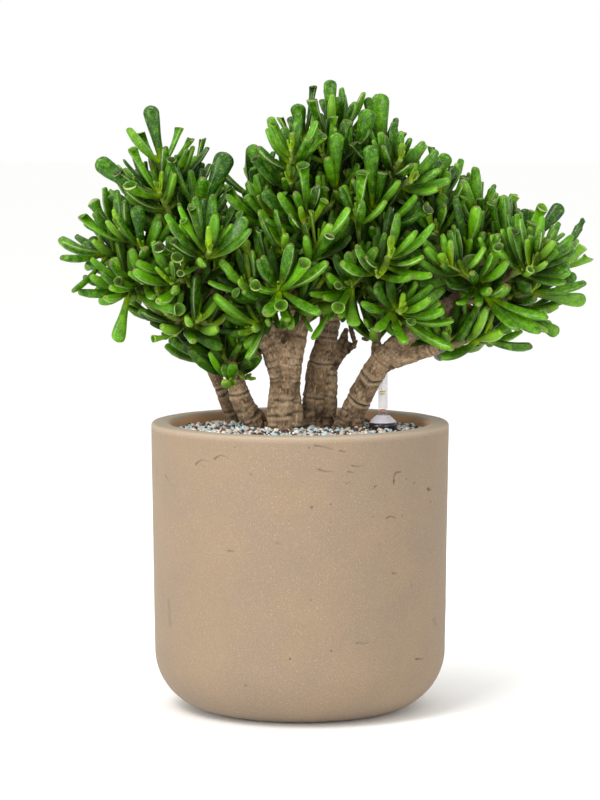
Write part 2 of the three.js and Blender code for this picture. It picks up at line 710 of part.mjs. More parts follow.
const pointerFoot = GAUGE.funnelTop + GAUGE.pointerRise;
const floatProfile = [
  [0, bulbFoot],
  [bulbRadius, bulbFoot],
  [bulbRadius, bulbTop - 3],
  [rodRadius, bulbTop],
  [rodRadius, pointerFoot - GAP],
  [0, pointerFoot - GAP],
];
const pointerProfile = [
  [0, pointerFoot],
  [pointerRadius, pointerFoot],
  [pointerRadius, pointerFoot + GAUGE.pointerLength],
  [0, pointerFoot + GAUGE.pointerLength],
];
const gaugeHole = [
  [0, GAUGE.pipeFoot - HOLE_GAP],
  [pipeRadius + HOLE_GAP, GAUGE.pipeFoot - HOLE_GAP],
  [pipeRadius + HOLE_GAP, GAUGE.collarFoot - HOLE_GAP],
  [collarRadius - 1.5 + HOLE_GAP, GAUGE.collarFoot - HOLE_GAP],
  [collarRadius + HOLE_GAP, GAUGE.funnelFoot - 3],
  [collarRadius + HOLE_GAP, POT.height],
  [0, POT.height],
];

addMesh(plant, "pot", potGeometry(), cement);
const gaugeSpace = solidOf(turned(gaugeHole, GAUGE.sides).translate(GAUGE.across, GAUGE.depth, 0));
const stemSpaces = Object.values(STEMS).map(([trunk]) => stemHole(trunk));
addMesh(plant, "substrate", geometryOf(bedSolid([...stemSpaces, gaugeSpace])), granules);
for (const [name, limbs] of Object.entries(STEMS))
  addMesh(plant, name, geometryOf(united(limbs.map(({ route }) => limbSolid(route)))), bark);
for (const name of Object.keys(HEADS)) addMesh(plant, name, geometryOf(headSolid(name)), leafGreen);
addMesh(gauge, "gauge_collar", turned(collarProfile, GAUGE.sides), darkPlastic);
addMesh(gauge, "gauge_tube", turned(tubeProfile, GAUGE.sides), clearPlastic);
addMesh(gauge, "gauge_float", turned(floatProfile, GAUGE.smallSides), whiteFoam);
addMesh(gauge, "gauge_pointer", turned(pointerProfile, GAUGE.smallSides), redPlastic);

export default plant;
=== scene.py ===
"""A potted horntree jade plant: cement planter, bed of granules, woody stems, leafy heads and a water gauge.

The plant's own sums are in millimetres and its meshes are made in metres, with +Z up, the front towards -Y
and the origin in the middle of the planter's flat foot.
"""

import logging
import math
from collections.abc import Sequence
from dataclasses import dataclass, field, replace
from enum import Enum
from functools import partial

import bmesh
import bpy
import numpy as np
from mathutils import Color, Euler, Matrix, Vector, noise


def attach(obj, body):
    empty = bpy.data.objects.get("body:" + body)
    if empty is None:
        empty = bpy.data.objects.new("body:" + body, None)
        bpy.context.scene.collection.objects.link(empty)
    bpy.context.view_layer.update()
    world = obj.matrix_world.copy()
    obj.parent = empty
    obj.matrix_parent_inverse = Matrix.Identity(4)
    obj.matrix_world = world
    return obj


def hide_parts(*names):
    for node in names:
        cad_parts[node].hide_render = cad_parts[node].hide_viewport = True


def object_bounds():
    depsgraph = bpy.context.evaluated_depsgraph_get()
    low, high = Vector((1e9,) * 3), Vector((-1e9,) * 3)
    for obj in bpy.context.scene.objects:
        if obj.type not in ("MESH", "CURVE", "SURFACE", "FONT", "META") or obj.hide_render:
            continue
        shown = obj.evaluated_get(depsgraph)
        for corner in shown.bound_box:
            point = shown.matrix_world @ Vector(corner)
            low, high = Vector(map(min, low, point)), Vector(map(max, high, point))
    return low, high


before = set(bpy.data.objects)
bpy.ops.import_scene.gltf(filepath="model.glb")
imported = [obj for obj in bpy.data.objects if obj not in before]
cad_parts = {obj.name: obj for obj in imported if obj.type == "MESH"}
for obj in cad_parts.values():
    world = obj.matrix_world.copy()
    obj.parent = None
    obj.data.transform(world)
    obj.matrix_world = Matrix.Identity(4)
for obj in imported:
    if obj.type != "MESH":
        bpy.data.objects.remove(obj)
CAD_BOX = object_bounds()

LOG = logging.getLogger("plant")
MM = 0.001  # in metres
LOW, HIGH = (np.array(corner) / MM for corner in CAD_BOX)  # the box round the solids
UP = np.array((0.0, 0.0, 1.0))
FRONT = np.array((0.0, -1.0, 0.0))

Colour = tuple[float, float, float]
Array = np.ndarray
Pair = tuple[float, float]
Material = bpy.types.Material
Mesh = bpy.types.Mesh
Piece = bpy.types.Object


def tone(code: str) -> Colour:
    """The linear colour of a web colour such as "b9a188"."""
    channels = (int(code[place : place + 2], 16) / 255 for place in (0, 2, 4))
    return tuple(Color(tuple(channels)).from_srgb_to_scene_linear())


# Shaders


class Wire:
    """An output of a shader node. Arithmetic on it adds Math nodes."""

    def __init__(self, shader: "Shader", socket: bpy.types.NodeSocket) -> None:
        """Keep the output and the shader that it belongs to."""
        self.shader = shader
        self.socket = socket

    def __add__(self, other: "Value") -> "Wire":
        """The sum."""
        return self.shader.math("ADD", self, other)

    def __radd__(self, other: float) -> "Wire":
        """The sum with a number in front."""
        return self.shader.math("ADD", other, self)

    def __sub__(self, other: "Value") -> "Wire":
        """The difference."""
        return self.shader.math("SUBTRACT", self, other)

    def __rsub__(self, other: float) -> "Wire":
        """The difference from a number in front."""
        return self.shader.math("SUBTRACT", other, self)

    def __mul__(self, other: "Value") -> "Wire":
        """The product."""
        return self.shader.math("MULTIPLY", self, other)

    def __rmul__(self, other: float) -> "Wire":
        """The product with a number in front."""
        return self.shader.math("MULTIPLY", other, self)

    def __pow__(self, other: "Value") -> "Wire":
        """The power."""
        return self.shader.math("POWER", self, other)


Value = Wire | float | str


class Shader:
    """A material made of nodes. Its colours are given as web colours."""

    def __init__(self, name: str) -> None:
        """Start an empty material.

        Args:
            name: The material's name.
        """
        self.material = bpy.data.materials.new(name)
        self.material.use_nodes = True
        self.tree = self.material.node_tree
        self.tree.nodes.clear()

    def node(
        self, kind: str, settings: dict[str, str], inputs: dict[str | int, Value], output: str | int = 0
    ) -> Wire | None:
        """Add a node.

        Args:
            kind: The node's type.
            settings: Its own settings, which are set first.
            inputs: The values or wires of its sockets.
            output: The output that is wanted.

        Returns:
            That output, or none for a node that has no outputs.
        """
        made = self.tree.nodes.new(kind)
        for key, value in settings.items():
            setattr(made, key, value)
        for key, value in inputs.items():
            socket = made.inputs[key]
            if isinstance(value, Wire):
                self.tree.links.new(value.socket, socket)
            elif socket.type == "RGBA":
                socket.default_value = (*tone(value), 1.0)
            else:
                socket.default_value = value
        return Wire(self, made.outputs[output]) if made.outputs else None

    def math(self, operation: str, *values: Value) -> Wire:
        """The result of a Math node."""
        return self.node("ShaderNodeMath", {"operation": operation}, dict(enumerate(values)))

    def mix(self, share: Value, first: Value, second: Value) -> Wire:
        """A blend of two colours, with a share of the second from 0 to 1."""
        return self.node("ShaderNodeMix", {"data_type": "RGBA"}, {0: share, 6: first, 7: second}, 2)

    def place(self) -> Wire:
        """The place on the plant, in metres."""
        return self.node("ShaderNodeTexCoord", {}, {}, "Object")

    def attribute(self, name: str, output: str = "Fac") -> Wire:
        """What the mesh holds under a name, as a number or, with output "Vector", a vector."""
        return self.node("ShaderNodeAttribute", {"attribute_name": name}, {}, output)

    def noise(self, place: Wire, size: float, detail: float = 3.0, roughness: float = 0.55) -> Wire:
        """Noise from 0 to 1 in clouds of a size, with finer layers of some roughness."""
        inputs = {"Vector": place, "Scale": 1 / size, "Detail": detail, "Roughness": roughness}
        return self.node("ShaderNodeTexNoise", {}, inputs)

    def cells(self, place: Wire, size: float, output: str = "Distance") -> Wire:
        """Cells of a size, as the distance from their middles or another output."""
        return self.node("ShaderNodeTexVoronoi", {}, {"Vector": place, "Scale": 1 / size}, output)

    def span(self, value: Wire, low: float, high: float) -> Wire:
        """A soft step from 0 where the value is low to 1 where it is high."""
        settings = {"interpolation_type": "SMOOTHSTEP"}
        return self.node("ShaderNodeMapRange", settings, {"Value": value, "From Min": low, "From Max": high})

    def bump(self, height: Wire, distance: float, strength: float) -> Wire:
        """A bumped normal, from heights of which 1 stands for a distance in metres."""
        inputs = {"Height": height, "Distance": distance, "Strength": strength}
        return self.node("ShaderNodeBump", {}, inputs)

    def finish(
        self, base: Wire, rough: Value, normal: Wire | None = None, others: dict[str, Value] | None = None
    ) -> Material:
        """Close the material with its surface.

        Args:
            base: The colour.
            rough: The roughness.
            normal: The bumped normal.
            others: The surface's other sockets.

        Returns:
            The material.
        """
        inputs = {"Base Color": base, "Roughness": rough, **(others or {})}
        if normal:
            inputs["Normal"] = normal
        surface = self.node("ShaderNodeBsdfPrincipled", {}, inputs)
        self.node("ShaderNodeOutputMaterial", {}, {"Surface": surface})
        return self.material


# Finishes


@dataclass(frozen=True)
class Cement:
    """The planter's sandy cement, with fine grain, clouds, pits and dents."""

    sand: str = "806d58"
    pale: str = "86735d"
    rust: str = "7e6a53"
    grey: str = "847b70"
    speck: str = "75614b"
    # painted shade in the dents and pits
    hollow: str = "46362a"
    # painted bounced light: the inside wall's lighter, warmer copy of the cement
    inside: str = "c0936a"
    fleck: str = "cdbfab"
    # painted light: the lighter colour of the rim's top, lit from above
    rim: str = "ac9c88"

    def material(self) -> Material:
        """The material, whose dents come from the mesh's "mark" and whose inside from its "within"."""
        shader = Shader("cement")
        place = shader.place()
        cloud = shader.noise(place, 0.07, 4.0)
        drift = shader.noise(place, 0.022, 3.0)
        grain = shader.noise(place, 0.0013, 2.0)
        sand = shader.noise(place, 0.0006, 1.0)
        base = shader.mix(shader.span(cloud, 0.36, 0.66), self.sand, self.pale)
        base = shader.mix(shader.span(drift, 0.5, 0.75) * 0.14, base, self.rust)
        base = shader.mix(shader.span(cloud, 0.62, 0.4) * 0.16, base, self.grey)
        # painted light: the rim's top is painted lighter, for the light that falls on it from above
        base = shader.mix(shader.attribute("top") * 0.6, base, self.rim)
        # painted bounced light: the inside wall is the same cement painted lighter and warmer
        base = shader.mix(shader.attribute("within"), base, self.inside)
        base = shader.mix(shader.span(grain, 0.58, 0.74) * 0.3, base, self.speck)
        base = shader.mix(shader.span(sand, 0.58, 0.72) * 0.4, base, self.fleck)
        # painted shade: the dents, by the mesh's "mark", and the pits are darkened towards the hollow colour
        pits = shader.span(shader.cells(place, 0.012), 0.05, 0.035) * shader.span(drift, 0.45, 0.6)
        dark = shader.math("MAXIMUM", shader.attribute("mark"), pits * 0.55)
        base = shader.mix(dark, base, self.hollow)
        height = grain * 0.5 + sand * 0.35 + drift * 0.6 - pits * 0.8
        others = {
            "Specular IOR Level": 0.35, "Sheen Weight": 0.12, "Sheen Roughness": 0.5,
            "Sheen Tint": "d6d2cc",
        }
        return shader.finish(base, 0.74 + grain * 0.2, shader.bump(height, 0.0005, 0.55), others)


@dataclass(frozen=True)
class Granule:
    """One sort of the bed's granules."""

    name: str
    body: str
    shade: str
    vein: str

    def material(self) -> Material:
        """The material: a mineral's mottling and fine pores."""
        shader = Shader(self.name)
        place = shader.place()
        mottle = shader.noise(place, 0.004, 3.0)
        pores = shader.noise(place, 0.0007, 2.0)
        own = shader.attribute("tint")
        base = shader.mix(shader.span(mottle, 0.35, 0.7), self.body, self.shade)
        base = shader.mix(own * 0.8, base, self.vein)
        base = shader.mix(shader.span(pores, 0.58, 0.75) * 0.3, base, self.vein)
        return shader.finish(base, 0.75 + pores * 0.2, shader.bump(pores, 0.0004, 0.6))


@dataclass(frozen=True)
class Soil:
    """The dark crumbs and dust that show between the granules."""

    crumb: str = "40312d"
    dust: str = "75665d"
    chip: str = "c9c2b8"

    def material(self) -> Material:
        """The material, from cells the size of the granules."""
        shader = Shader("soil")
        place = shader.place()
        stones = shader.cells(place, 0.0034)
        hue = shader.cells(place, 0.0034, output="Color")
        dust = shader.noise(place, 0.0012, 3.0)
        base = shader.mix(shader.span(dust, 0.4, 0.7), self.crumb, self.dust)
        chips = shader.span(hue, 0.55, 0.6) * shader.span(stones, 0.55, 0.35)
        base = shader.mix(chips, base, self.chip)
        return shader.finish(base, 0.95, shader.bump(dust * 0.4 - stones, 0.0015, 0.8))


@dataclass(frozen=True)
class Bark:
    """The stems' wrinkled bark with its ring scars."""

    body: str = "8d7458"
    pale: str = "bba486"
    warm: str = "5c4630"
    # the colour of the cracks and scars, and the painted shade of sunken bark
    crack_and_shade: str = "2a1e14"
    lichen: str = "a29683"
    foot: str = "4f3a26"

    def material(self) -> Material:
        """The material, with "grain" as its coordinates along the wood and "rise" for its bumps."""
        shader = Shader("bark")
        place = shader.place()
        grain = shader.attribute("grain", "Vector")
        fibre = shader.noise(grain, 0.0017, 4.0, 0.65)
        strand = shader.noise(grain, 0.0009, 2.0)
        cloud = shader.noise(place, 0.012, 4.0, 0.6)
        pore = shader.noise(place, 0.0016, 3.0)
        base = shader.mix(shader.span(cloud, 0.36, 0.58), self.warm, self.body)
        stain = shader.noise(place, 0.006, 4.0, 0.7)
        base = shader.mix(shader.span(stain, 0.5, 0.64) * 0.65, base, self.foot)
        base = shader.mix(shader.span(fibre, 0.5, 0.72), base, self.pale)
        rise = shader.attribute("rise")
        # painted light: bark raised by the mesh's "rise" is painted paler
        base = shader.mix(shader.span(rise + fibre * 0.5, 0.35, 1.1) * 0.6, base, self.pale)
        base = shader.mix(shader.span(pore, 0.6, 0.74) * 0.45, base, self.lichen)
        # the "foot" number darkens the rough stem feet and, as painted shade, the hollows
        dark = shader.attribute("foot") * (0.5 + shader.span(cloud, 0.3, 0.6) * 0.5)
        base = shader.mix(dark, base, self.foot)
        crack_and_shade = shader.math("MAXIMUM", shader.span(fibre, 0.43, 0.32) * 0.65, shader.attribute("scar"))
        # painted shade: bark sunk by the mesh's "rise" is painted dark
        crack_and_shade = shader.math("MAXIMUM", crack_and_shade, shader.span(rise - fibre * 0.3, -0.35, -0.95) * 0.7)
        base = shader.mix(crack_and_shade, base, self.crack_and_shade)
        # painted highlight on the raised lips beside the ring scars
        base = shader.mix(shader.attribute("lip") * 0.6, base, self.pale)
        height = fibre * 0.8 + strand * 0.3 + pore * 0.3
        others = {"Specular IOR Level": 0.3}
        return shader.finish(base, 0.72 + pore * 0.22, shader.bump(height, 0.0014, 0.85), others)


@dataclass(frozen=True)
class LeafSkin:
    """The leaves' waxy skin, from the yellow green of young leaves to the dark green of old ones."""

    deep: str = "184300"
    green: str = "539400"
    light: str = "9cc62a"
    fresh: str = "c4ea0a"
    silver: str = "8cb03c"
    # the colour of the whitish dots and the pale margins; on the margins, partly a painted rim highlight
    edge: str = "e0e8b0"
    brown: str = "74503f"
    # painted shade: the colour towards which leaves deep in the foliage darken
    shadow: str = "040e00"

    def material(self) -> Material:
        """The material, from the leaf's own tint, youth, edges, back, brown tip and painted shade in the
        mesh.
        """
        shader = Shader("leaf_skin")
        place = shader.place()
        tint = shader.attribute("tint")
        mottle = shader.noise(place, 0.007, 4.0, 0.6)
        fleck = shader.noise(place, 0.0011, 2.0)
        dots = shader.span(shader.cells(place, 0.0017), 0.28, 0.12)
        depth = shader.span(tint * 0.6 + mottle * 0.8, 0.36, 0.96)
        base = shader.mix(depth, self.deep, self.green)
        clear = 0.3 + tint * 0.8
        base = shader.mix(shader.span(mottle, 0.5, 0.72) * clear * 0.32, base, self.light)
        bloom = shader.noise(place, 0.0026, 3.0, 0.65)
        base = shader.mix(shader.span(bloom, 0.5, 0.7) * clear * 0.3, base, self.light)
        silver = shader.attribute("back") * shader.span(tint, 0.35, 0.85) * 0.35
        base = shader.mix(silver, base, self.silver)
        young = shader.attribute("young")
        base = shader.mix(young, base, self.fresh)
        base = shader.mix(dots * shader.span(fleck, 0.4, 0.6) * 0.5, base, self.edge)
        # the pale margins and cup rims are partly the leaf's own pale edge and partly a painted rim
        # highlight
        edge = shader.attribute("pale") ** 3.4
        base = shader.mix(edge * (0.4 + fleck * 0.8), base, self.edge)
        base = shader.mix(shader.attribute("brown"), base, self.brown)
        # painted shade: leaves deep in the foliage darken towards the shadow colour, less at the young lime
        # feet
        shade = shader.attribute("shade")
        base = shader.mix(shade * (0.86 - young * 0.5), base, self.shadow)
        height = mottle * 0.8 + bloom * 0.5 + fleck * 0.3 + dots * 0.35
        others = {
            "Specular IOR Level": 0.08, "Coat Weight": (1.0 - shade) * (0.12 + fleck * 0.5),
            "Coat Roughness": 0.16,
        }
        rough = 0.27 + mottle * 0.12 + fleck * 0.1
        return shader.finish(base, rough, shader.bump(height, 0.001, 0.65), others)


@dataclass(frozen=True)
class YoungBark:
    """The skin of a shoot, green at its growing end and brown where it turns to wood."""

    green: str = "7d9a38"
    brown: str = "7e6549"
    scar: str = "4f3d2b"

    def material(self) -> Material:
        """The material, green by the mesh's "young" and banded by its "scar"."""
        shader = Shader("young_bark")
        place = shader.place()
        patch = shader.noise(place, 0.004, 3.0)
        pore = shader.noise(place, 0.0012, 2.0)
        green = shader.span(shader.attribute("young") + patch * 0.5, 0.45, 0.95)
        base = shader.mix(green, self.brown, self.green)
        base = shader.mix(shader.attribute("scar") * 0.7, base, self.scar)
        base = shader.mix(shader.span(pore, 0.55, 0.75) * 0.35, base, "b5a083")
        return shader.finish(base, 0.6 + pore * 0.25, shader.bump(patch + pore * 0.5, 0.0008, 0.7))


@dataclass(frozen=True)
class Plastic:
    """A moulded plastic of the gauge."""

    name: str
    colour: str
    dust: str
    rough: float

    def material(self) -> Material:
        """The material, with its faint dust and scuffs."""
        shader = Shader(self.name)
        place = shader.place()
        dust = shader.noise(place, 0.003, 3.0)
        scuff = shader.noise(place, 0.0009, 2.0)
        base = shader.mix(shader.span(dust, 0.45, 0.75) * 0.3, self.colour, self.dust)
        return shader.finish(base, self.rough + scuff * 0.12, shader.bump(scuff, 0.0002, 0.25))


@dataclass(frozen=True)
class ClearPlastic:
    """The gauge's see-through plastic, cloudier in the funnel than in the tube."""

    tube: str = "dad8da"
    funnel: str = "d6d2dc"
    cloudy: float = 0.88
    thin: float = 0.2
    neck: float = 0.294  # how high the funnel ends
    clear: float = 0.2996  # up to where the tube is clearest

    def material(self) -> Material:
        """The material, whose clearness changes with height."""
        shader = Shader("clear_plastic")
        place = shader.place()
        height = shader.node("ShaderNodeSeparateXYZ", {}, {"Vector": place}, "Z")
        haze = shader.noise(place, 0.004, 3.0)
        scuff = shader.noise(place, 0.0009, 2.0)
        below = shader.span(height, self.neck + 0.0006, self.neck - 0.0008)
        thin = self.thin * (0.2 + 0.8 * shader.span(height, self.clear, self.clear + 0.001))
        base = shader.mix(below, self.tube, self.funnel)
        base = shader.mix(shader.span(haze, 0.5, 0.8) * 0.3, base, "f4f3f6")
        others = {"Alpha": thin + below * (self.cloudy - thin) + haze * 0.05}
        return shader.finish(base, 0.12 + scuff * 0.16, shader.bump(scuff, 0.0002, 0.2), others)


@dataclass(frozen=True)
class Pointer:
    """The gauge's pointer: dark red below and orange with yellow lines above."""

    red: str = "5e0008"
    orange: str = "a81c00"
    yellow: str = "e3b73a"
    split: float = 0.2968
    line: float = 0.0013

    def material(self) -> Material:
        """The material, banded by height."""
        shader = Shader("pointer_paint")
        place = shader.place()
        height = shader.node("ShaderNodeSeparateXYZ", {}, {"Vector": place}, "Z")
        grime = shader.noise(place, 0.001, 2.0)
        wave = shader.math("PINGPONG", height - self.split, self.line / 2)
        base = shader.mix(shader.span(wave, 0.0004, 0.00055), self.orange, self.yellow)
        base = shader.mix(shader.span(height, self.split, self.split - 0.0002), base, self.red)
        base = shader.mix(grime * 0.15, base, self.red)
        return shader.finish(base, 0.35 + grime * 0.15)


# Lines and meshes


class Draws:
    """Numbers from 0 to 1 that come in the same order for the same seed, as the solids' own do."""

    MASK = 0xFFFFFFFF

    def __init__(self, seed: int) -> None:
        """Start at a seed."""
        self.state = seed & self.MASK

    def __call__(self) -> float:
        """The next number."""
        self.state = (self.state + 0x6D2B79F5) & self.MASK
        mixed = ((self.state ^ (self.state >> 15)) * (self.state | 1)) & self.MASK
        mixed ^= (mixed + (mixed ^ (mixed >> 7)) * (mixed | 61)) & self.MASK
        return (mixed ^ (mixed >> 14)) / 2**32

    def between(self, low: float, high: float) -> float:
        """The next number, from one value to another."""
        return low + (high - low) * self()


def unit(vector: Array) -> Array:
    """The vector at length 1."""
    return vector / np.linalg.norm(vector)


def lengths(vectors: Array) -> Array:
    """The length of each of many vectors."""
    return np.linalg.norm(vectors, axis=-1)


def smooth(value: Array, low: float, high: float) -> Array:
    """A soft step from 0 at one value to 1 at another."""
    share = np.clip((value - low) / (high - low), 0, 1)
    return share * share * (3 - 2 * share)


def knots(at: Array, places: Sequence[float], values: Sequence[float]) -> Array:
    """A smooth curve through knots, read at some places.

    Args:
        at: Where it is read.
        places: The knots' places, in rising order.
        values: Their values.

    Returns:
        The curve's values.
    """
    places, values = np.asarray(places, float), np.asarray(values, float)
    slopes = np.gradient(values, places)
    i = np.clip(np.searchsorted(places, at) - 1, 0, len(places) - 2)
    width = places[i + 1] - places[i]
    t = np.clip((at - places[i]) / width, 0, 1)
    start = (1 + 2 * t) * (1 - t) ** 2 * values[i] + t * (1 - t) ** 2 * slopes[i] * width
    return start + t * t * (3 - 2 * t) * values[i + 1] + t * t * (t - 1) * slopes[i + 1] * width


def waves(points: Array, size: float, seed: int) -> Array:
    """Soft noise from about -1 to 1 at many points, with bumps of a size and its own seed."""
    shift = Vector((seed * 17.3, seed * 9.1, seed * 5.7))
    return np.array([noise.noise(Vector(point) / size + shift) for point in points])


@dataclass(frozen=True)
class Eye:
    """Where the front view is seen from."""

    distance: float = 3400.0
    height: float = 639.0

    def point(self, across: float, up: float, depth: float) -> Array:
        """The place of what the front view shows across and up, some depth behind the planter's axis."""
        spread = (self.distance + depth) / self.distance
        return np.array((across * spread, depth, self.height + (up - self.height) * spread))

    def seen(self, point: Array) -> tuple[Array, Array]:
        """How far across and how high a point, or each of a row of points, is seen."""
        spread = (self.distance + point[..., 1]) / self.distance
        return point[..., 0] / spread, self.height + (point[..., 2] - self.height) / spread


EYE = Eye()


class Curve:
    """A line in space, run through from 0 at its start to 1 at its end."""

    def points(self, at: Array) -> Array:
        """Its points at some places."""
        raise NotImplementedError

    def point(self, at: float) -> Array:
        """Its point at one place."""
        return self.points(np.array([at]))[0]

    def tangents(self, at: Array) -> Array:
        """Its directions at some places, each of length 1."""
        step = self.points(np.minimum(at + 1e-4, 1)) - self.points(np.maximum(at - 1e-4, 0))
        return step / lengths(step)[:, None]

    def tangent(self, at: float) -> Array:
        """Its direction at one place."""
        return self.tangents(np.array([at]))[0]

    def length(self) -> float:
        """How long it is."""
        return float(lengths(np.diff(self.points(np.linspace(0, 1, 201)), axis=0)).sum())


@dataclass(frozen=True)
class Bend(Curve):
    """A curve from one point to another that leans towards a third."""

    start: Array
    through: Array
    end: Array

    def points(self, at: Array) -> Array:
        """Its points at some places."""
        t = at[:, None]
        return (1 - t) ** 2 * self.start + 2 * (1 - t) * t * self.through + t * t * self.end


@dataclass(frozen=True)
class Route(Curve):
    """A curve through a row of points."""

    stops: Array

    def points(self, at: Array) -> Array:
        """Its points at some places."""
        before = 2 * self.stops[:1] - self.stops[1:2]
        after = 2 * self.stops[-1:] - self.stops[-2:-1]
        row = np.vstack((before, self.stops, after))
        place = at * (len(self.stops) - 1)
        i = np.minimum(place.astype(int), len(self.stops) - 2)
        t = (place - i)[:, None]
        a, b, c, d = (row[i + k] for k in range(4))
        leave, arrive = (c - a) / 2, (d - b) / 2
        square, cube = 3 * (c - b) - 2 * leave - arrive, 2 * (b - c) + leave + arrive
        return b + leave * t + square * t**2 + cube * t**3


def square_to(directions: Array, near: Array) -> tuple[Array, Array]:
    """Two vectors square to each direction.

    Args:
        directions: The directions.
        near: What the second vector is as near to as it can be.

    Returns:
        The sideways vectors and those near the given one.
    """
    thick = near - directions * (directions @ near)[:, None]
    spare = np.array((1.0, 0, 0)) - directions * directions[:, :1]
    size = lengths(thick)[:, None]
    thick = np.where(size < 1e-3, spare, thick)
    thick /= lengths(thick)[:, None]
    return np.cross(thick, directions), thick


def turns(sides: int) -> Array:
    """Even angles round a circle."""
    return 2 * np.pi * np.arange(sides) / sides


def tube_rings(curve: Curve, at: Array, radius: Array, sides: int, near: Array = UP) -> Array:
    """Rings round a curve.

    Args:
        curve: The curve.
        at: The rings' places along it.
        radius: Their radii.
        sides: How many points each has.
        near: Where their second side faces.

    Returns:
        The points, a row of them for each ring.
    """
    wide, thick = square_to(curve.tangents(at), near)
    x, y = radius[:, None] * np.cos(turns(sides)), radius[:, None] * np.sin(turns(sides))
    return curve.points(at)[:, None] + x[..., None] * wide[:, None] + y[..., None] * thick[:, None]


def turned_rings(profile: Array, sides: int, axis: Sequence[float] = (0, 0)) -> Array:
    """Rings of points round an upright axis, from rows of radius and height."""
    x, y = profile[:, :1] * np.cos(turns(sides)), profile[:, :1] * np.sin(turns(sides))
    return np.stack((axis[0] + x, axis[1] + y, np.broadcast_to(profile[:, 1:], x.shape)), axis=2)


class MeshMaker:
    """Gathers skins into one mesh, in millimetres, with numbers at its points for the shader."""

    def __init__(self, *channels: str) -> None:
        """Start empty.

        Args:
            channels: The names of the numbers that each point holds.
        """
        self.channels = channels
        self.points: list[Array] = []
        self.numbers: list[Array] = []
        self.faces: list[Array] = []
        self.slots: list[Array] = []
        self.count = 0

    def add(self, points: Array, faces: Sequence[Array], slot: int = 0, **numbers: Array | float) -> None:
        """Add a shape.

        Args:
            points: Its points.
            faces: Tables of its faces' corners, each for faces with as many corners as it has columns.
            slot: Its material's place in the mesh.
            numbers: Its numbers, one for each point or one for all.
        """
        held = [np.broadcast_to(numbers.get(name, 0.0), len(points)) for name in self.channels]
        self.points.append(points)
        self.numbers.append(np.array(held).reshape(len(self.channels), len(points)))
        for table in faces:
            self.faces.append(table + self.count)
            self.slots.append(np.full(len(table), slot))
        self.count += len(points)

    def skin(
        self,
        rings: Array,
        slot: int = 0,
        first: Array | None = None,
        last: Array | None = None,
        **numbers: Array | float,
    ) -> None:
        """Add a skin over rings of points.

        Args:
            rings: The points, a row for each ring.
            slot: Its material's place in the mesh.
            first: The point that closes its start.
            last: The point that closes its end.
            numbers: Its numbers, for each point of the rings or one for all.
        """
        bands, sides = rings.shape[0] - 1, rings.shape[1]
        i = np.arange(sides)
        turn = (i + 1) % sides
        start = (np.arange(bands) * sides)[:, None]
        corners = (start + i, start + turn, start + turn + sides, start + i + sides)
        faces = [np.stack(corners, axis=-1).reshape(-1, 4)]
        points = rings.reshape(-1, 3)
        ends = []
        for tip, low, order in ((first, 0, 1), (last, bands * sides, -1)):
            if tip is not None:
                fan = (np.full(sides, len(points)), low + turn, low + i)
                faces.append(np.stack(fan[::order], axis=1))
                points = np.vstack((points, tip))
                ends.append(low)
        held = {}
        for name, values in numbers.items():
            row = np.broadcast_to(values, rings.shape[:2]).reshape(-1)
            held[name] = np.concatenate((row, row[ends]))
        self.add(points, faces, slot, **held)

    def piece(self, name: str, materials: Sequence[Material]) -> Piece:
        """The finished piece.

        Args:
            name: Its name.
            materials: Its materials.

        Returns:
            The piece.
        """
        mesh = bpy.data.meshes.new(name)
        corners = np.concatenate([table.ravel() for table in self.faces])
        sizes = np.concatenate([np.full(len(table), table.shape[1]) for table in self.faces])
        mesh.vertices.add(self.count)
        mesh.vertices.foreach_set("co", (np.vstack(self.points) * MM).ravel())
        mesh.loops.add(len(corners))
        mesh.loops.foreach_set("vertex_index", corners.astype(np.int32))
        mesh.polygons.add(len(sizes))
        mesh.polygons.foreach_set("loop_start", (np.cumsum(sizes) - sizes).astype(np.int32))
        mesh.polygons.foreach_set("material_index", np.concatenate(self.slots).astype(np.int32))
        mesh.polygons.foreach_set("use_smooth", np.full(len(sizes), True))
        mesh.update(calc_edges=True)
        for channel, row in zip(self.channels, np.hstack(self.numbers)):
            write_numbers(mesh, channel, row)
        return new_piece(name, mesh, materials)


def write_numbers(mesh: Mesh, name: str, values: Array) -> None:
    """Keep a number, or a vector, at each of a mesh's points.

    Args:
        mesh: The mesh.
        name: What the shader calls it.
        values: The numbers, or a row of three for each point.
    """
    kind, key = ("FLOAT", "value") if values.ndim == 1 else ("FLOAT_VECTOR", "vector")
    held = mesh.attributes.new(name, kind, "POINT")
    held.data.foreach_set(key, values.astype(np.float32).ravel())


def read_points(mesh: Mesh) -> Array:
    """A mesh's points, in millimetres."""
    points = np.empty(len(mesh.vertices) * 3, np.float32)
    mesh.vertices.foreach_get("co", points)
    return points.reshape(-1, 3).astype(float) / MM


def write_points(mesh: Mesh, points: Array) -> None:
    """Move a mesh's points, given in millimetres."""
    mesh.vertices.foreach_set("co", (points * MM).astype(np.float32).ravel())
    mesh.update()


def new_piece(name: str, mesh: Mesh, materials: Sequence[Material]) -> Piece:
    """Place a mesh in the scene as a piece of the plant.

    Args:
        name: The piece's name.
        mesh: Its mesh.
        materials: Its materials.

    Returns:
        The piece.
    """
    made = bpy.data.objects.new(name, mesh)
    for material in materials:
        mesh.materials.append(material)
    bpy.context.scene.collection.objects.link(made)
    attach(made, "root")
    LOG.info("%s: %d points", name, len(mesh.vertices))
    return made


# Planter


@dataclass(frozen=True)
class Mark:
    """A dent or scratch in the planter's wall, which may thin out towards its end."""

    points: Array
    width: float
    depth: float
    # how dark its painted shade is
    dark: float
    end: float = 1.0  # the share of its width and depth that its end has


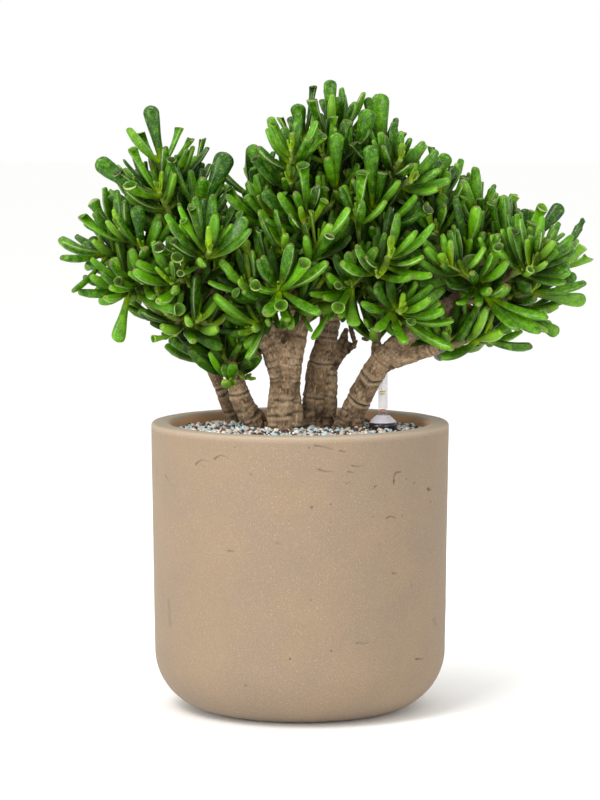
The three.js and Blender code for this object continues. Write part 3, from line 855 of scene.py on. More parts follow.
@dataclass
class Planter:
    """The cement planter: flat foot, round corner, slightly flared wall and soft rim."""

    radius: float = 149.0
    foot_radius: float = 146.0
    height: float = 288.0
    wall: float = 20.0
    floor: float = 22.0
    corner: float = 60.0
    inner_corner: float = 44.0
    draft: float = 3.0
    lip: float = 5.0
    outer_lip: float = 3.2
    sides: int = 216
    row: float = 3.9
    cuts: int = 5
    seed: int = 5101
    scattered: int = 46
    axis_pixel: Pair = (300.0, 709.0)  # of the front view, at the foot

    def profile(self) -> Array:
        """Rows of radius and height, up the outside, over the rim and down the inside."""
        inner = self.radius - self.wall
        foot = self.arc(self.foot_radius - self.corner, self.corner, self.corner, (-90, 0), 26)
        edge = self.outer_lip
        outer = self.arc(self.radius - edge, self.height - edge, edge, (0, 90), 6)
        over = self.arc(inner + self.lip, self.height - self.lip, self.lip, (90, 180), 6)
        low = self.floor + self.inner_corner
        under = self.arc(inner - self.inner_corner - self.draft, low, self.inner_corner, (0, -90), 6)
        rows = int((outer[0, 1] - foot[-1, 1]) / self.row)
        side = np.linspace(foot[-1], outer[0], rows)[1:-1]
        within = np.linspace(over[-1], (inner - 0.3, 262.0), 8)[1:]
        return np.vstack(((self.foot_radius - self.corner - 40, 0), foot, side, outer, over, within, under))

    @staticmethod
    def arc(radius: float, height: float, size: float, turn: Pair, steps: int) -> Array:
        """Rows of radius and height, along an arc of a size round a centre between two angles in degrees."""
        angle = np.radians(np.linspace(*turn, steps + 1))
        return np.stack((radius + size * np.cos(angle), height + size * np.sin(angle)), axis=1)

    def outside(self, height: Array) -> Array:
        """The outside's radius at some heights."""
        low = np.clip(self.corner - height, 0, self.corner)
        curved = self.foot_radius - self.corner + np.sqrt(self.corner**2 - low**2)
        share = np.clip((height - self.corner) / (self.height - self.lip - self.corner), 0, 1)
        return curved + (self.radius - self.foot_radius) * share

    def on_wall(self, pixel: Pair) -> Array:
        """The point of the outside that the front view shows at a pixel."""
        across, up = pixel[0] - self.axis_pixel[0], self.axis_pixel[1] - pixel[1]
        depth = -self.radius
        for _ in range(8):
            point = EYE.point(across, up, depth)
            radius = float(self.outside(point[2:])[0])
            depth = -math.sqrt(max(radius**2 - point[0] ** 2, 1.0))
        return EYE.point(across, up, depth)

    def seen_marks(self) -> list[Mark]:
        """The marks that the front view shows."""
        made = []
        for width, depth, dark, end, *pixels in SEEN_MARKS:
            made.append(Mark(np.array([self.on_wall(pixel) for pixel in pixels]), width, depth, dark, end))
        return made

    def other_marks(self) -> list[Mark]:
        """Marks of the same sorts round the sides and back."""
        draw = Draws(self.seed)
        made = []
        for _ in range(self.scattered):
            angle = math.radians(draw.between(5, 175))
            height = 205 + 65 * draw() if draw() < 0.6 else draw.between(30, 200)
            length, tilt = draw.between(1, 14) * (draw() < 0.6), draw.between(-0.5, 0.5)
            row = []
            for share in (0.0, 0.5, 1.0):
                turn = angle + share * length / self.radius
                up = height + share * tilt * length - 0.8 * math.sin(math.pi * share)
                radius = float(self.outside(np.array([up]))[0])
                row.append((radius * math.cos(turn), radius * math.sin(turn), up))
            made.append(Mark(np.array(row), draw.between(1.1, 2.0), draw.between(0.5, 1.1), draw(), draw()))
        return made

    @staticmethod
    def gap(points: Array, mark: Mark) -> tuple[Array, Array]:
        """How far points are from a mark's line, and how far along it.

        Args:
            points: The points.
            mark: The mark.

        Returns:
            A distance for each point, and a share of the mark's length.
        """
        best, along = np.full(len(points), np.inf), np.zeros(len(points))
        stops = mark.points if len(mark.points) > 1 else np.repeat(mark.points, 2, axis=0)
        for number, (start, end) in enumerate(zip(stops[:-1], stops[1:])):
            way = end - start
            share = np.clip((points - start) @ way / max(way @ way, 1e-9), 0, 1)
            away = lengths(points - start - share[:, None] * way)
            along = np.where(away < best, (number + share) / (len(stops) - 1), along)
            best = np.minimum(best, away)
        return best, along

    def refine(self, mesh: Mesh, marks: Sequence[Mark]) -> None:
        """Divide a mesh's faces finely near the marks.

        Args:
            mesh: The mesh.
            marks: The marks.
        """
        points = read_points(mesh)
        near = np.zeros(len(points), bool)
        for mark in marks:
            near |= self.gap(points, mark)[0] < mark.width + self.row
        work = bmesh.new()
        work.from_mesh(mesh)
        edges = [edge for edge in work.edges if near[edge.verts[0].index] and near[edge.verts[1].index]]
        bmesh.ops.subdivide_edges(work, edges=edges, cuts=self.cuts, use_grid_fill=True)
        bmesh.ops.triangulate(work, faces=[face for face in work.faces if len(face.verts) > 4])
        work.to_mesh(mesh)
        work.free()

    def build(self) -> None:
        """Build the planter and dress it."""
        maker = MeshMaker()
        rings = turned_rings(self.profile(), self.sides)
        maker.skin(rings, first=np.zeros(3), last=np.array((0, 0, self.floor)))
        pot = maker.piece("planter", [Cement().material()])
        marks = self.seen_marks() + self.other_marks()
        self.refine(pot.data, marks)
        self.wear(pot.data, marks)
        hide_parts("pot")

    def wear(self, mesh: Mesh, marks: Sequence[Mark]) -> None:
        """Press the marks and the hand-made unevenness into the wall.

        Args:
            mesh: The planter's mesh.
            marks: The marks.
        """
        points = read_points(mesh)
        radius = np.hypot(points[:, 0], points[:, 1])
        outward = points * (1, 1, 0) / np.maximum(radius, 1e-6)[:, None]
        out = radius > self.outside(points[:, 2]) - 1
        sink, dark = np.zeros(len(points)), np.zeros(len(points))
        for mark in marks:
            away, along = self.gap(points, mark)
            left = 1 - (1 - mark.end) * along
            share = (1 - smooth(away, mark.width * left * 0.15, mark.width * left + 0.15)) * left
            sink = np.maximum(sink, share * mark.depth)
            dark = np.maximum(dark, share * mark.dark)
        wave = 0.22 * waves(points, 60, 1) + 0.16 * waves(points, 17, 2) + 0.05 * waves(points, 5, 3)
        free = smooth(points[:, 2], 1, 14) * (radius > 20)
        points -= outward * (np.where(out, sink, 0) + free * (0.3 + wave))[:, None]
        top = smooth(points[:, 2], self.height - 6, self.height - 1)
        points[:, 2] -= top * (0.25 + 0.25 * waves(points, 23, 4))
        write_points(mesh, points)
        # the "mark" number is the dents' painted shade
        write_numbers(mesh, "mark", np.where(out, dark, 0))
        # the "within" number is the inside wall, painted lighter and warmer as painted bounced light
        inner = (radius < self.radius - self.wall + 2.5) & (points[:, 2] > self.floor - 1)
        write_numbers(mesh, "within", inner * smooth(-points[:, 2], -self.height, -self.height + 5))
        # the "top" number is where the rim's top is painted lighter, as painted light
        write_numbers(mesh, "top", top)


# The marks on the planter's front: width, depth, darkness of its painted shade and the share left at the
# end, then the pixels of its line in the front view
SEEN_MARKS = (
    (1.3, 0.6, 0.75, 0.6, (195.5, 464.5), (197.5, 462.5), (200, 461)),
    (1.0, 0.4, 0.5, 0.2, (200, 461), (202, 460), (209, 462), (218, 465)),
    (1.3, 0.6, 0.75, 0.2, (214, 459.5), (217, 457), (221, 455.5), (227, 458), (233, 461)),
    (1.1, 0.5, 0.6, 0.5, (165, 475.5), (168.5, 481)),
    (1.0, 0.4, 0.5, 1.0, (158, 470)),
    (0.9, 0.4, 0.45, 1.0, (165, 437)),
    (0.9, 0.4, 0.45, 1.0, (155, 424)),
    (0.8, 0.3, 0.4, 1.0, (156, 439)),
    (0.9, 0.3, 0.35, 1.0, (224, 437)),
    (1.0, 0.5, 0.6, 1.0, (203.5, 467)),
    (1.1, 0.6, 0.7, 1.0, (234.5, 447)),
    (1.0, 0.4, 0.6, 0.6, (250, 475), (253, 475.5)),
    (1.3, 0.6, 0.6, 0.5, (315, 446), (324, 447), (333, 450)),
    (1.3, 0.6, 0.6, 1.0, (309, 448)),
    (1.2, 0.5, 0.6, 0.6, (340, 451), (346, 452)),
    (1.2, 0.6, 0.6, 0.5, (319, 470), (326, 472), (333, 472)),
    (1.1, 0.5, 0.65, 0.25, (352, 466), (358, 467), (366, 465)),
    (1.1, 0.5, 0.6, 0.4, (348, 472), (355, 473.5)),
    (1.0, 0.4, 0.55, 0.5, (346.5, 484), (351, 482.5)),
    (0.9, 0.3, 0.3, 1.0, (342.5, 476)),
    (1.3, 0.7, 0.8, 0.35, (375, 487.5), (377, 486)),
    (1.2, 0.7, 0.6, 0.9, (401, 472.5), (398, 472.5), (395.5, 474), (394.5, 477), (394.5, 481)),
    (1.7, 0.9, 0.85, 0.8, (394.5, 481), (394.5, 484)),
    (1.1, 0.6, 0.7, 1.0, (406.5, 479.5)),
    (1.2, 0.6, 0.7, 0.3, (414.5, 483.5), (416, 482.5)),
    (0.8, 0.3, 0.3, 0.3, (385, 496.5), (389, 496)),
    (2.2, 1.3, 1.0, 0.5, (429, 489.5), (431.5, 490.5)),
    (1.3, 0.7, 0.8, 1.0, (431.5, 502.5)),
    (0.9, 0.4, 0.4, 1.0, (443, 501)),
    (0.8, 0.3, 0.45, 1.0, (402.5, 445)),
    (0.9, 0.3, 0.3, 1.0, (415, 463)),
    (1.8, 0.9, 0.7, 1.0, (312, 508)),
    (1.2, 0.6, 0.7, 1.0, (331, 505)),
    (1.1, 0.6, 0.7, 1.0, (373.5, 517.5)),
    (1.1, 0.6, 0.65, 0.7, (387, 519), (391, 517), (396, 518.5)),
    (1.1, 0.6, 0.6, 1.0, (403, 517)),
    (0.8, 0.3, 0.3, 1.0, (412.5, 511.5)),
    (1.1, 0.5, 0.6, 1.0, (331, 523)),
    (2.4, 0.4, 0.2, 1.0, (380, 546)),
    (1.2, 0.6, 0.6, 0.5, (228, 552), (235, 553)),
    (1.2, 0.4, 0.35, 0.5, (276, 544), (281, 546)),
    (1.2, 0.6, 0.65, 0.6, (393, 575), (397, 575)),
    (1.1, 0.5, 0.6, 1.0, (311, 602)),
    (1.0, 0.4, 0.6, 1.0, (412, 587)),
    (2.2, 0.7, 0.25, 0.6, (358, 646), (369, 646)),
    (1.3, 0.7, 0.7, 1.0, (332, 654)),
    (1.5, 0.8, 0.85, 1.0, (290, 662)),
    (1.4, 0.8, 0.85, 0.4, (417, 662), (424, 662)),
    (1.5, 0.7, 0.65, 1.0, (245, 689)),
    (1.4, 0.4, 0.4, 1.0, (215, 706)),
    (5.0, 0.3, 0.2, 1.0, (168, 604), (169, 626)),
    (4.0, 0.3, 0.2, 1.0, (434, 622), (437, 627)),
)


# Bed


@dataclass
class Bed:
    """The bed of loose granules, lying on the substrate's uneven top."""

    edge: float = 275.0
    crown: float = 3.0
    ripple: float = 1.0
    radius: float = 129.0
    pitch: float = 4.1
    seed: int = 70
    sorts: tuple[Granule, ...] = (
        Granule("granules_cream", "fbf3e8", "e6d6c4", "b8a18d"),
        Granule("granules_blue", "dcf3f8", "bfe1ea", "93aeb8"),
        Granule("granules_dark", "3c292b", "291c20", "6d5752"),
    )
    shares: tuple[float, ...] = (0.38, 0.62, 1.0)

    def top(self, x: float, y: float) -> float:
        """How high the substrate's top is at a place."""
        share = math.hypot(x, y) / self.radius
        ripple = math.sin(x * 0.11 + 1.3) * math.cos(y * 0.13) + 0.6 * math.sin(x * 0.21 - y * 0.17)
        return self.edge + self.crown * (1 - share * share) + self.ripple * ripple

    def places(self, standing: Sequence[tuple[float, float, float]], draw: Draws) -> list[Array]:
        """Where granules lie.

        Args:
            standing: What stands in the bed, as places across and along it with a radius.
            draw: Where chance is drawn from.

        Returns:
            The granules' middles.
        """
        made = []
        rows = int(self.radius / (self.pitch * 0.87)) + 1
        for layer in range(2):
            for j in range(-rows, rows + 1):
                for i in range(-rows, rows + 1):
                    x = self.pitch * (i + (j % 2) / 2 + draw.between(-0.4, 0.4) + layer * 0.4)
                    y = self.pitch * (0.87 * j + draw.between(-0.4, 0.4) + layer * 0.4)
                    lift = draw.between(0.1, 0.8) + layer * draw.between(1.2, 2.2)
                    if (layer and draw() < 0.55) or math.hypot(x, y) > self.radius - 2.4:
                        continue
                    if any(math.hypot(x - a, y - b) < radius for a, b, radius in standing):
                        continue
                    made.append(np.array((x, y, self.top(x, y) + lift)))
        return made

    def build(self, standing: Sequence[tuple[float, float, float]]) -> None:
        """Lay the granules and dress the substrate.

        Args:
            standing: What stands in the bed, as places across and along it with a radius.
        """
        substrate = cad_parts["substrate"]
        substrate.data.materials.clear()
        substrate.data.materials.append(Soil().material())
        draw = Draws(self.seed)
        ball, faces = self.ball()
        makers = [MeshMaker("tint") for _ in self.sorts]
        for place in self.places(standing, draw):
            choice = draw()
            sort = next(k for k, share in enumerate(self.shares) if choice <= share)
            size = np.array([draw.between(2.0, 2.8) for _ in range(3)]) * draw.between(0.7, 1.3)
            rough = np.array([draw.between(0.88, 1.1) for _ in ball])[:, None]
            turn = Euler((draw() * 6.3, draw() * 6.3, draw() * 6.3)).to_matrix()
            shape = (ball * rough * size) @ np.array(turn).T
            makers[sort].add(place + shape, [faces], tint=draw())
        for maker, sort in zip(makers, self.sorts):
            granules = maker.piece(sort.name, [sort.material()])

    @staticmethod
    def ball() -> tuple[Array, Array]:
        """The points and faces of a ball of twenty triangles."""
        work = bmesh.new()
        bmesh.ops.create_icosphere(work, subdivisions=1, radius=1)
        points = np.array([vertex.co for vertex in work.verts])
        faces = np.array([[vertex.index for vertex in face.verts] for face in work.faces])
        work.free()
        return points, faces


# Wood


@dataclass(frozen=True)
class Limb:
    """A limb of a stem.

    Its points are across and up as seen in the front view, depth behind the planter's axis, and radius.
    """

    bears: str | None
    points: tuple[tuple[float, float, float, float], ...]

    def curve(self) -> Route:
        """Its middle line."""
        return Route(np.array([EYE.point(*point[:3]) for point in self.points]))

    def radius(self, at: Array) -> Array:
        """Its radius at some places along it."""
        places = np.linspace(0, 1, len(self.points))
        return np.interp(at, places, [point[3] for point in self.points])


def limb(bears: str | None, *points: tuple[float, float, float, float]) -> Limb:
    """A limb that bears a head, or none, along its points."""
    return Limb(bears, points)


class LeafKind(Enum):
    """The plant's forms of leaf."""

    FINGER = "finger"
    TRUMPET = "trumpet"
    SPOON = "spoon"


Place = tuple[float, float, float]


@dataclass(frozen=True)
class NamedLeaf:
    """A leaf that stands out, by its far end in the front view and its width."""

    kind: LeafKind
    across: float
    up: float
    depth: float
    width: float


finger = partial(NamedLeaf, LeafKind.FINGER)
trumpet = partial(NamedLeaf, LeafKind.TRUMPET)
spoon = partial(NamedLeaf, LeafKind.SPOON)


@dataclass(frozen=True)
class Tip:
    """A shoot's growing tip and those of its leaves that stand out."""

    place: Place
    named: tuple[NamedLeaf, ...] = ()


def shoot(place: Place, *named: NamedLeaf) -> Tip:
    """A shoot with its growing tip at a place."""
    return Tip(place, named)


def shoots(*places: Place) -> list[Tip]:
    """Shoots at some places, without leaves that stand out."""
    return [Tip(place) for place in places]


# Where the wood and the heads are seen in the front view
STEMS: dict[str, list[Limb]] = {
    "stem_front": [
        limb(None, (-14, 238, 3, 16), (-14, 284, 2, 15.5), (-15, 325, 0, 15), (-14, 350, -2, 17),
            (-13, 370, -4, 18), (-10, 382, -3, 11)),
        limb("crown_left_inner", (-18, 360, -4, 14), (-38, 383, -8, 10.5), (-68, 404, -12, 8.5),
            (-92, 418, -12, 7)),
        limb("crown_left_outer", (-68, 404, -12, 7.5), (-96, 410, 6, 6.5), (-120, 422, 14, 5.8),
            (-136, 434, 10, 5)),
        limb("crown_left_upper", (-76, 406, -12, 7.5), (-92, 430, 6, 6.2), (-104, 448, 10, 5.2)),
        limb("crown_left_low", (-98, 411, 6, 6), (-106, 400, -6, 5), (-112, 391, -16, 4.5)),
        limb("crown_centre_left", (-8, 368, -2, 13.5), (0, 395, 6, 11), (6, 420, 10, 9), (4, 444, 12, 7.5)),
        limb("crown_front", (-3, 386, 3, 9.5), (-10, 396, -20, 8), (-14, 406, -38, 6.5)),
        limb("crown_back_left", (2, 402, 8, 8.5), (-8, 424, 40, 7), (-16, 438, 66, 6)),
    ],
    "stem_middle": [
        limb("crown_centre_top", (18, 240, 36, 17), (18, 282, 34, 16.5), (17, 310, 32, 15),
            (21, 345, 30, 13.5), (27, 372, 28, 11), (34, 408, 22, 10), (44, 444, 15, 8)),
        limb(None, (26, 344, 32, 8), (41, 362, 38, 6.5), (54, 363, 42, 3)),
        limb(None, (39, 360, 37, 5.5), (46, 379, 38, 3)),
        limb("crown_back", (34, 408, 22, 8), (44, 428, 48, 6.5), (50, 440, 70, 6)),
        limb("crown_front_right", (32, 398, 22, 8), (46, 416, 4, 7), (56, 430, -12, 6)),
    ],
    "stem_right": [
        limb("crown_right_upper", (44, 250, 18, 13), (49, 286, 13, 12.5), (60, 312, 2, 12),
            (75, 339, -18, 12), (86, 353, -22, 12), (104, 371, -22, 9.5), (128, 391, -20, 8.5),
            (147, 404, -16, 7.5), (160, 414, -11, 6.5)),
        limb("crown_right_low", (80, 344, -15, 9), (98, 350, -22, 8.5), (122, 357, -27, 7),
            (138, 361, -30, 5.5)),
        limb("crown_middle_right", (126, 390, -20, 7.5), (133, 416, -6, 6.5), (137, 440, 4, 5.5)),
        limb("crown_back_right", (138, 398, -17, 6.8), (152, 399, 12, 5.8), (160, 408, 38, 5)),
        limb("crown_right_outer", (145, 402, -16, 6.5), (170, 397, -12, 5.6), (188, 404, -9, 5.2)),
        limb("crown_fork_right", (80, 346, -16, 8), (77, 358, -15, 6.5), (76, 366, -13, 5)),
    ],
    "stem_left": [
        limb("crown_low_left", (-38, 254, 28, 12), (-42, 282, 19, 11.5), (-56, 304, 13, 11),
            (-63, 324, 9, 9.5), (-66, 338, 8, 8)),
    ],
    "stem_far_left": [
        limb("crown_low_back", (-60, 262, 78, 7.5), (-68, 292, 70, 7.2), (-81, 326, 58, 6.6),
            (-89, 342, 50, 6)),
    ],
}
HEADS: dict[str, list[Tip]] = {
    "crown_left_outer": [
        shoot((-194, 458, -10), finger(-244, 471, -22, 13), finger(-239, 452, -38, 9),
            finger(-227, 418, -48, 9)),
        shoot((-172, 417, -38), spoon(-182, 369, -48, 14), trumpet(-121, 400, -70, 12),
            finger(-198, 437, -62, 8), finger(-201, 408, -30, 9)),
        shoot((-157, 462, -45), spoon(-162, 504, -62, 14), finger(-183, 494, -50, 8)),
        shoot((-188, 481, 14), trumpet(-205, 506, 12, 12), finger(-215, 486, 2, 8)),
        *shoots((-178, 432, 50), (-190, 466, 66)),
    ],
    "crown_left_upper": [
        shoot((-137, 549, -8), spoon(-149, 603, -12, 16), finger(-171, 581, -18, 12),
            trumpet(-120, 580, 6, 9)),
        shoot((-140, 517, -38), spoon(-202, 549, -30, 16), trumpet(-181, 537, -54, 14),
            trumpet(-169, 524, -76, 14), trumpet(-166, 559, -46, 9)),
        shoot((-100, 502, -30), spoon(-72, 557, -38, 19), finger(-96, 532, -62, 11),
            trumpet(-127, 549, -56, 10)),
        shoot((-110, 524, 20), trumpet(-97, 569, 24, 9)),
        *shoots((-150, 516, 50), (-108, 498, 72), (-84, 476, 58)),
    ],
    "crown_left_inner": [
        shoot((-100, 457, -62), finger(-67, 485, -84, 9), finger(-111, 484, -84, 7),
            trumpet(-140, 462, -94, 12), trumpet(-122, 452, -104, 12)),
        shoot((-121, 438, -58), finger(-163, 447, -80, 11)),
        shoot((-82, 474, -36), finger(-88, 506, -46, 9), finger(-64, 505, -34, 8)),
        shoot((-60, 450, -18)),
    ],
    "crown_left_low": [
        shoot((-134, 396, -42)),
        shoot((-125, 374, -22), finger(-150, 388, -24, 9)),
        shoot((-102, 388, -50), finger(-103, 436, -70, 12)),
        *shoots((-144, 394, 30), (-106, 388, 52)),
    ],
    "crown_low_left": [
        shoot((-78, 352, -14), finger(-93, 394, -20, 12), finger(-84, 414, -4, 10),
            finger(-117, 384, -18, 11), finger(-113, 366, -26, 9)),
        shoot((-69, 323, -30), finger(-77, 345, -36, 9), finger(-66, 347, -38, 10)),
        shoot((-56, 346, 2), finger(-38, 366, 0, 13), finger(-43, 388, 8, 10), finger(-64, 392, 12, 10)),
    ],
    "crown_low_back": [
        shoot((-100, 352, 44), spoon(-130, 372, 36, 10)),
        *shoots((-88, 370, 68), (-112, 368, 66)),
    ],
    "crown_centre_left": [
        shoot((-7, 547, -24), finger(-30, 592, -34, 13), finger(-16, 582, -14, 10),
            finger(20, 579, -50, 11)),
        shoot((-11, 530, -46), spoon(-51, 563, -54, 14)),
        shoot((8, 492, -78), trumpet(3, 543, -98, 13), finger(-5, 517, -100, 10), finger(18, 524, -96, 10)),
        shoot((-38, 494, -42), finger(-44, 535, -48, 9), finger(-33, 524, -62, 8),
            spoon(-54, 514, -54, 11)),
        shoot((-58, 487, -8), finger(-70, 511, -12, 8)),
        shoot((5, 574, 4), trumpet(13, 621, 6, 8), spoon(-3, 605, -12, 14)),
        shoot((-40, 508, 44)),
    ],
    "crown_centre_top": [
        shoot((28, 576, -14), spoon(30, 630, -20, 12)),
        shoot((34, 524, -60), spoon(36, 576, -78, 14), finger(27, 552, -92, 9)),
        shoot((54, 549, -38), spoon(68, 600, -52, 16), trumpet(47, 586, -46, 10)),
        shoot((85, 556, -6), spoon(79, 615, -14, 18), spoon(67, 611, 8, 11), finger(96, 591, -8, 8)),
        shoot((90, 542, -40), finger(110, 571, -50, 8), finger(86, 572, -60, 7)),
        shoot((42, 590, 16), finger(41, 621, 18, 9)),
        *shoots((58, 558, 54), (20, 546, 66)),
    ],
    "crown_front": [
        shoot((-21, 421, -98), finger(-42, 450, -114, 10), finger(-9, 466, -124, 12),
            trumpet(4, 446, -134, 13), finger(28, 448, -122, 12), finger(20, 396, -130, 10),
            trumpet(-44, 424, -132, 12), trumpet(-19, 404, -142, 11), finger(-35, 396, -128, 13)),
        shoot((20, 466, -96), finger(49, 502, -110, 9)),
        shoot((-54, 424, -72), finger(-80, 449, -88, 12)),
        shoot((-44, 380, -64), finger(-86, 415, -78, 12)),
        shoot((-16, 470, -88), finger(-24, 500, -100, 9)),
    ],
    "crown_front_right": [
        shoot((50, 423, -82), finger(34, 456, -98, 9), finger(48, 458, -106, 11), finger(76, 462, -102, 12),
            trumpet(38, 424, -116, 9), trumpet(38, 402, -108, 12), spoon(54, 384, -96, 12)),
        shoot((56, 492, -84), trumpet(62, 536, -100, 12), finger(40, 522, -98, 9)),
        shoot((74, 504, -64), spoon(70, 564, -84, 14), trumpet(82, 536, -92, 9), finger(99, 529, -88, 9)),
        shoot((84, 486, -72), trumpet(127, 500, -98, 12), finger(116, 514, -84, 9)),
        shoot((82, 446, -70)),
    ],
    "crown_middle_right": [
        shoot((135, 478, -50), finger(144, 505, -64, 8)),
        shoot((112, 527, -16), spoon(148, 554, -22, 14)),
        shoot((132, 507, 2), trumpet(142, 540, -2, 10), spoon(155, 543, 12, 12)),
        *shoots((128, 500, 50), (146, 468, 66)),
    ],
    "crown_fork_right": [
        shoot((98, 399, -54), finger(153, 361, -86, 11), trumpet(111, 388, -96, 9),
            finger(153, 389, -76, 9), finger(140, 408, -84, 10), finger(116, 427, -82, 10)),
        shoot((73, 380, -18), finger(66, 403, -32, 9)),
        shoot((94, 432, -56), finger(108, 479, -80, 11)),
    ],
    "crown_right_upper": [
        shoot((167, 462, -44), finger(176, 504, -60, 13), finger(154, 514, -52, 8)),
        shoot((178, 494, -4), finger(174, 543, -8, 12), finger(161, 531, -18, 13)),
        shoot((210, 460, -30), finger(203, 515, -34, 13), trumpet(191, 505, -46, 11),
            trumpet(231, 486, -52, 10), trumpet(241, 501, -34, 11)),
        shoot((226, 468, 10), spoon(260, 505, 12, 13), spoon(224, 501, 16, 10)),
        shoot((190, 472, 50)),
    ],
    "crown_right_outer": [
        shoot((181, 417, -62), trumpet(169, 448, -84, 16), finger(198, 476, -86, 12),
            finger(206, 424, -98, 12), finger(219, 380, -90, 9), finger(240, 378, -74, 12),
            finger(247, 392, -86, 9), finger(157, 368, -62, 10)),
        shoot((231, 419, -32), finger(285, 427, -38, 9), spoon(284, 409, -20, 15),
            spoon(222, 428, -80, 14)),
        shoot((248, 447, 0), finger(283, 491, 4, 9), trumpet(294, 452, -6, 11), finger(277, 470, 18, 8),
            trumpet(258, 464, -36, 9)),
        shoot((232, 398, 6), spoon(257, 376, 2, 12), spoon(274, 436, 6, 10)),
        shoot((214, 430, 54)),
    ],
    "crown_right_low": [
        shoot((148, 372, -46), finger(170, 396, -54, 9)),
        shoot((186, 374, -42), finger(140, 352, -60, 10), finger(232, 364, -50, 12)),
        shoot((166, 374, 0)),
    ],
    "crown_back_left": shoots((-32, 470, 112), (-64, 446, 98), (-10, 506, 100), (8, 462, 120),
        (-24, 426, 116), (-56, 488, 92)),
    "crown_back": shoots((50, 484, 126), (28, 518, 100), (88, 470, 112), (70, 522, 92), (44, 444, 136),
        (84, 430, 116)),
    "crown_back_right": shoots((172, 448, 86), (138, 434, 92), (200, 430, 74), (166, 402, 84),
        (118, 466, 98)),
}
MORE_SHOOTS: dict[str, list[Tip]] = {
    "crown_front": [
        shoot((4, 402, -56), finger(-6, 384, -70, 7), finger(12, 378, -66, 6)),
        shoot((-30, 408, -52), finger(-34, 376, -64, 8), finger(-22, 382, -66, 7)),
        shoot((20, 424, -60)),
    ],
    "crown_front_right": [
        shoot((30, 404, -44), finger(12, 370, -48, 7), finger(30, 390, -66, 7)),
        shoot((46, 412, -36), finger(56, 388, -46, 8)),
        *shoots((40, 438, -44), (66, 412, -40), (28, 432, -22)),
    ],
    "crown_back": shoots((28, 414, 44), (54, 416, 52), (12, 410, 34)),
    "crown_fork_right": shoots((86, 396, -28), (98, 418, -30)),
    "crown_left_low": shoots((-142, 416, -36), (-120, 408, -10), (-152, 404, -20)),
    "crown_left_inner": shoots((-110, 424, -54), (-84, 440, -40)),
    "crown_low_left": [
        shoot((-62, 364, -18), finger(-54, 384, -30, 12), finger(-74, 392, -34, 11)),
        shoot((-88, 362, -4), finger(-100, 396, -14, 10), finger(-104, 378, -2, 10)),
        shoot((-56, 331, -8), finger(-41, 357, -14, 15), finger(-50, 356, -22, 10)),
    ],
}

BARE = ((-40, 0), (-40, 382), (62, 382), (62, 0))  # where the front view shows the stems below the leaves
OPEN = ((-57, 312), (-57, 346), (-38, 346), (-38, 312))  # where it shows no leaf but the named ones

# The outline of the heads in the front view, which added leaves keep inside
OUTLINE = (
    (-246, 470), (-232, 486), (-205, 505), (-196, 545), (-160, 590), (-120, 575), (-85, 562), (-66, 508),
    (-58, 505), (-52, 560), (-30, 592), (0, 612), (26, 632), (45, 632), (50, 606), (80, 618), (92, 590),
    (112, 572), (146, 562), (172, 545), (182, 535), (205, 517), (232, 505), (262, 508), (284, 492),
    (292, 456), (270, 440), (286, 412), (255, 402), (252, 372), (200, 360), (165, 353), (120, 346),
    (100, 366), (86, 372), (62, 382), (30, 386), (10, 374), (-8, 382), (-28, 378), (-35, 343),
    (-38, 335), (-57, 327), (-62, 317), (-69, 314), (-76, 319), (-89, 338), (-108, 353), (-120, 364),
    (-137, 378), (-163, 399), (-186, 410), (-226, 417), (-222, 450),
)


# The ring scars round each stem's first limb, by how high they are seen and how deep they are
SCARS: dict[str, tuple[Pair, ...]] = {
    "stem_front": ((342, 0.5), (329, 0.4), (311, 1.1), (296, 1.3), (288, 0.4)),
    "stem_middle": ((373, 1.1), (347, 1.5), (312, 1.1), (331, 0.4), (306, 0.7)),
    "stem_right": ((335, 1.3), (311, 1.8), (296, 0.7), (348, 0.8), (358, 0.7)),
    "stem_left": ((317, 1.2), (303, 0.7), (294, 1.0), (327, 0.5)),
    "stem_far_left": ((322, 1.1), (316, 0.9), (309, 0.6), (300, 0.8)),
}

# Swellings and ridges that grow out of the stems, as more limbs
BURLS: dict[str, list[Limb]] = {
    "stem_front": [
        limb(None, (-20, 330, -5, 9), (-25, 346, -9, 9.5), (-31, 362, -12, 9), (-44, 380, -12, 7.5)),
        limb(None, (-7, 328, -8, 7.5), (-6, 346, -11, 8.5), (-3, 362, -13, 8.5), (1, 384, -9, 8)),
        limb(None, (-26, 282, -6, 6.5), (-27, 300, -5, 6), (-26, 320, -4, 5)),
        limb(None, (-4, 282, -8, 7.5), (-4, 302, -6, 7), (-6, 322, -4, 5.5)),
    ],
    "stem_middle": [
        limb(None, (27, 280, 26, 9), (29, 306, 24, 8.5), (31, 336, 24, 6.5)),
        limb(None, (8, 280, 24, 9), (9, 300, 22, 8), (12, 320, 24, 6)),
        limb(None, (33, 340, 34, 5), (38, 350, 34, 5), (44, 356, 34, 4), (49, 358, 33, 2.6)),
    ],
    "stem_right": [
        limb(None, (37, 278, 10, 7), (44, 292, 6, 7), (50, 306, 2, 5)),
        limb(None, (58, 278, 4, 6), (58, 290, 4, 6.5), (62, 304, 2, 5)),
        limb(None, (84, 352, -30, 5.5), (98, 364, -30, 5), (116, 379, -27, 4.6), (134, 392, -23, 4)),
    ],
    "stem_left": [
        limb(None, (-48, 282, 12, 6), (-55, 298, 8, 5.5), (-62, 312, 6, 4.5)),
    ],
    "stem_far_left": [],
}
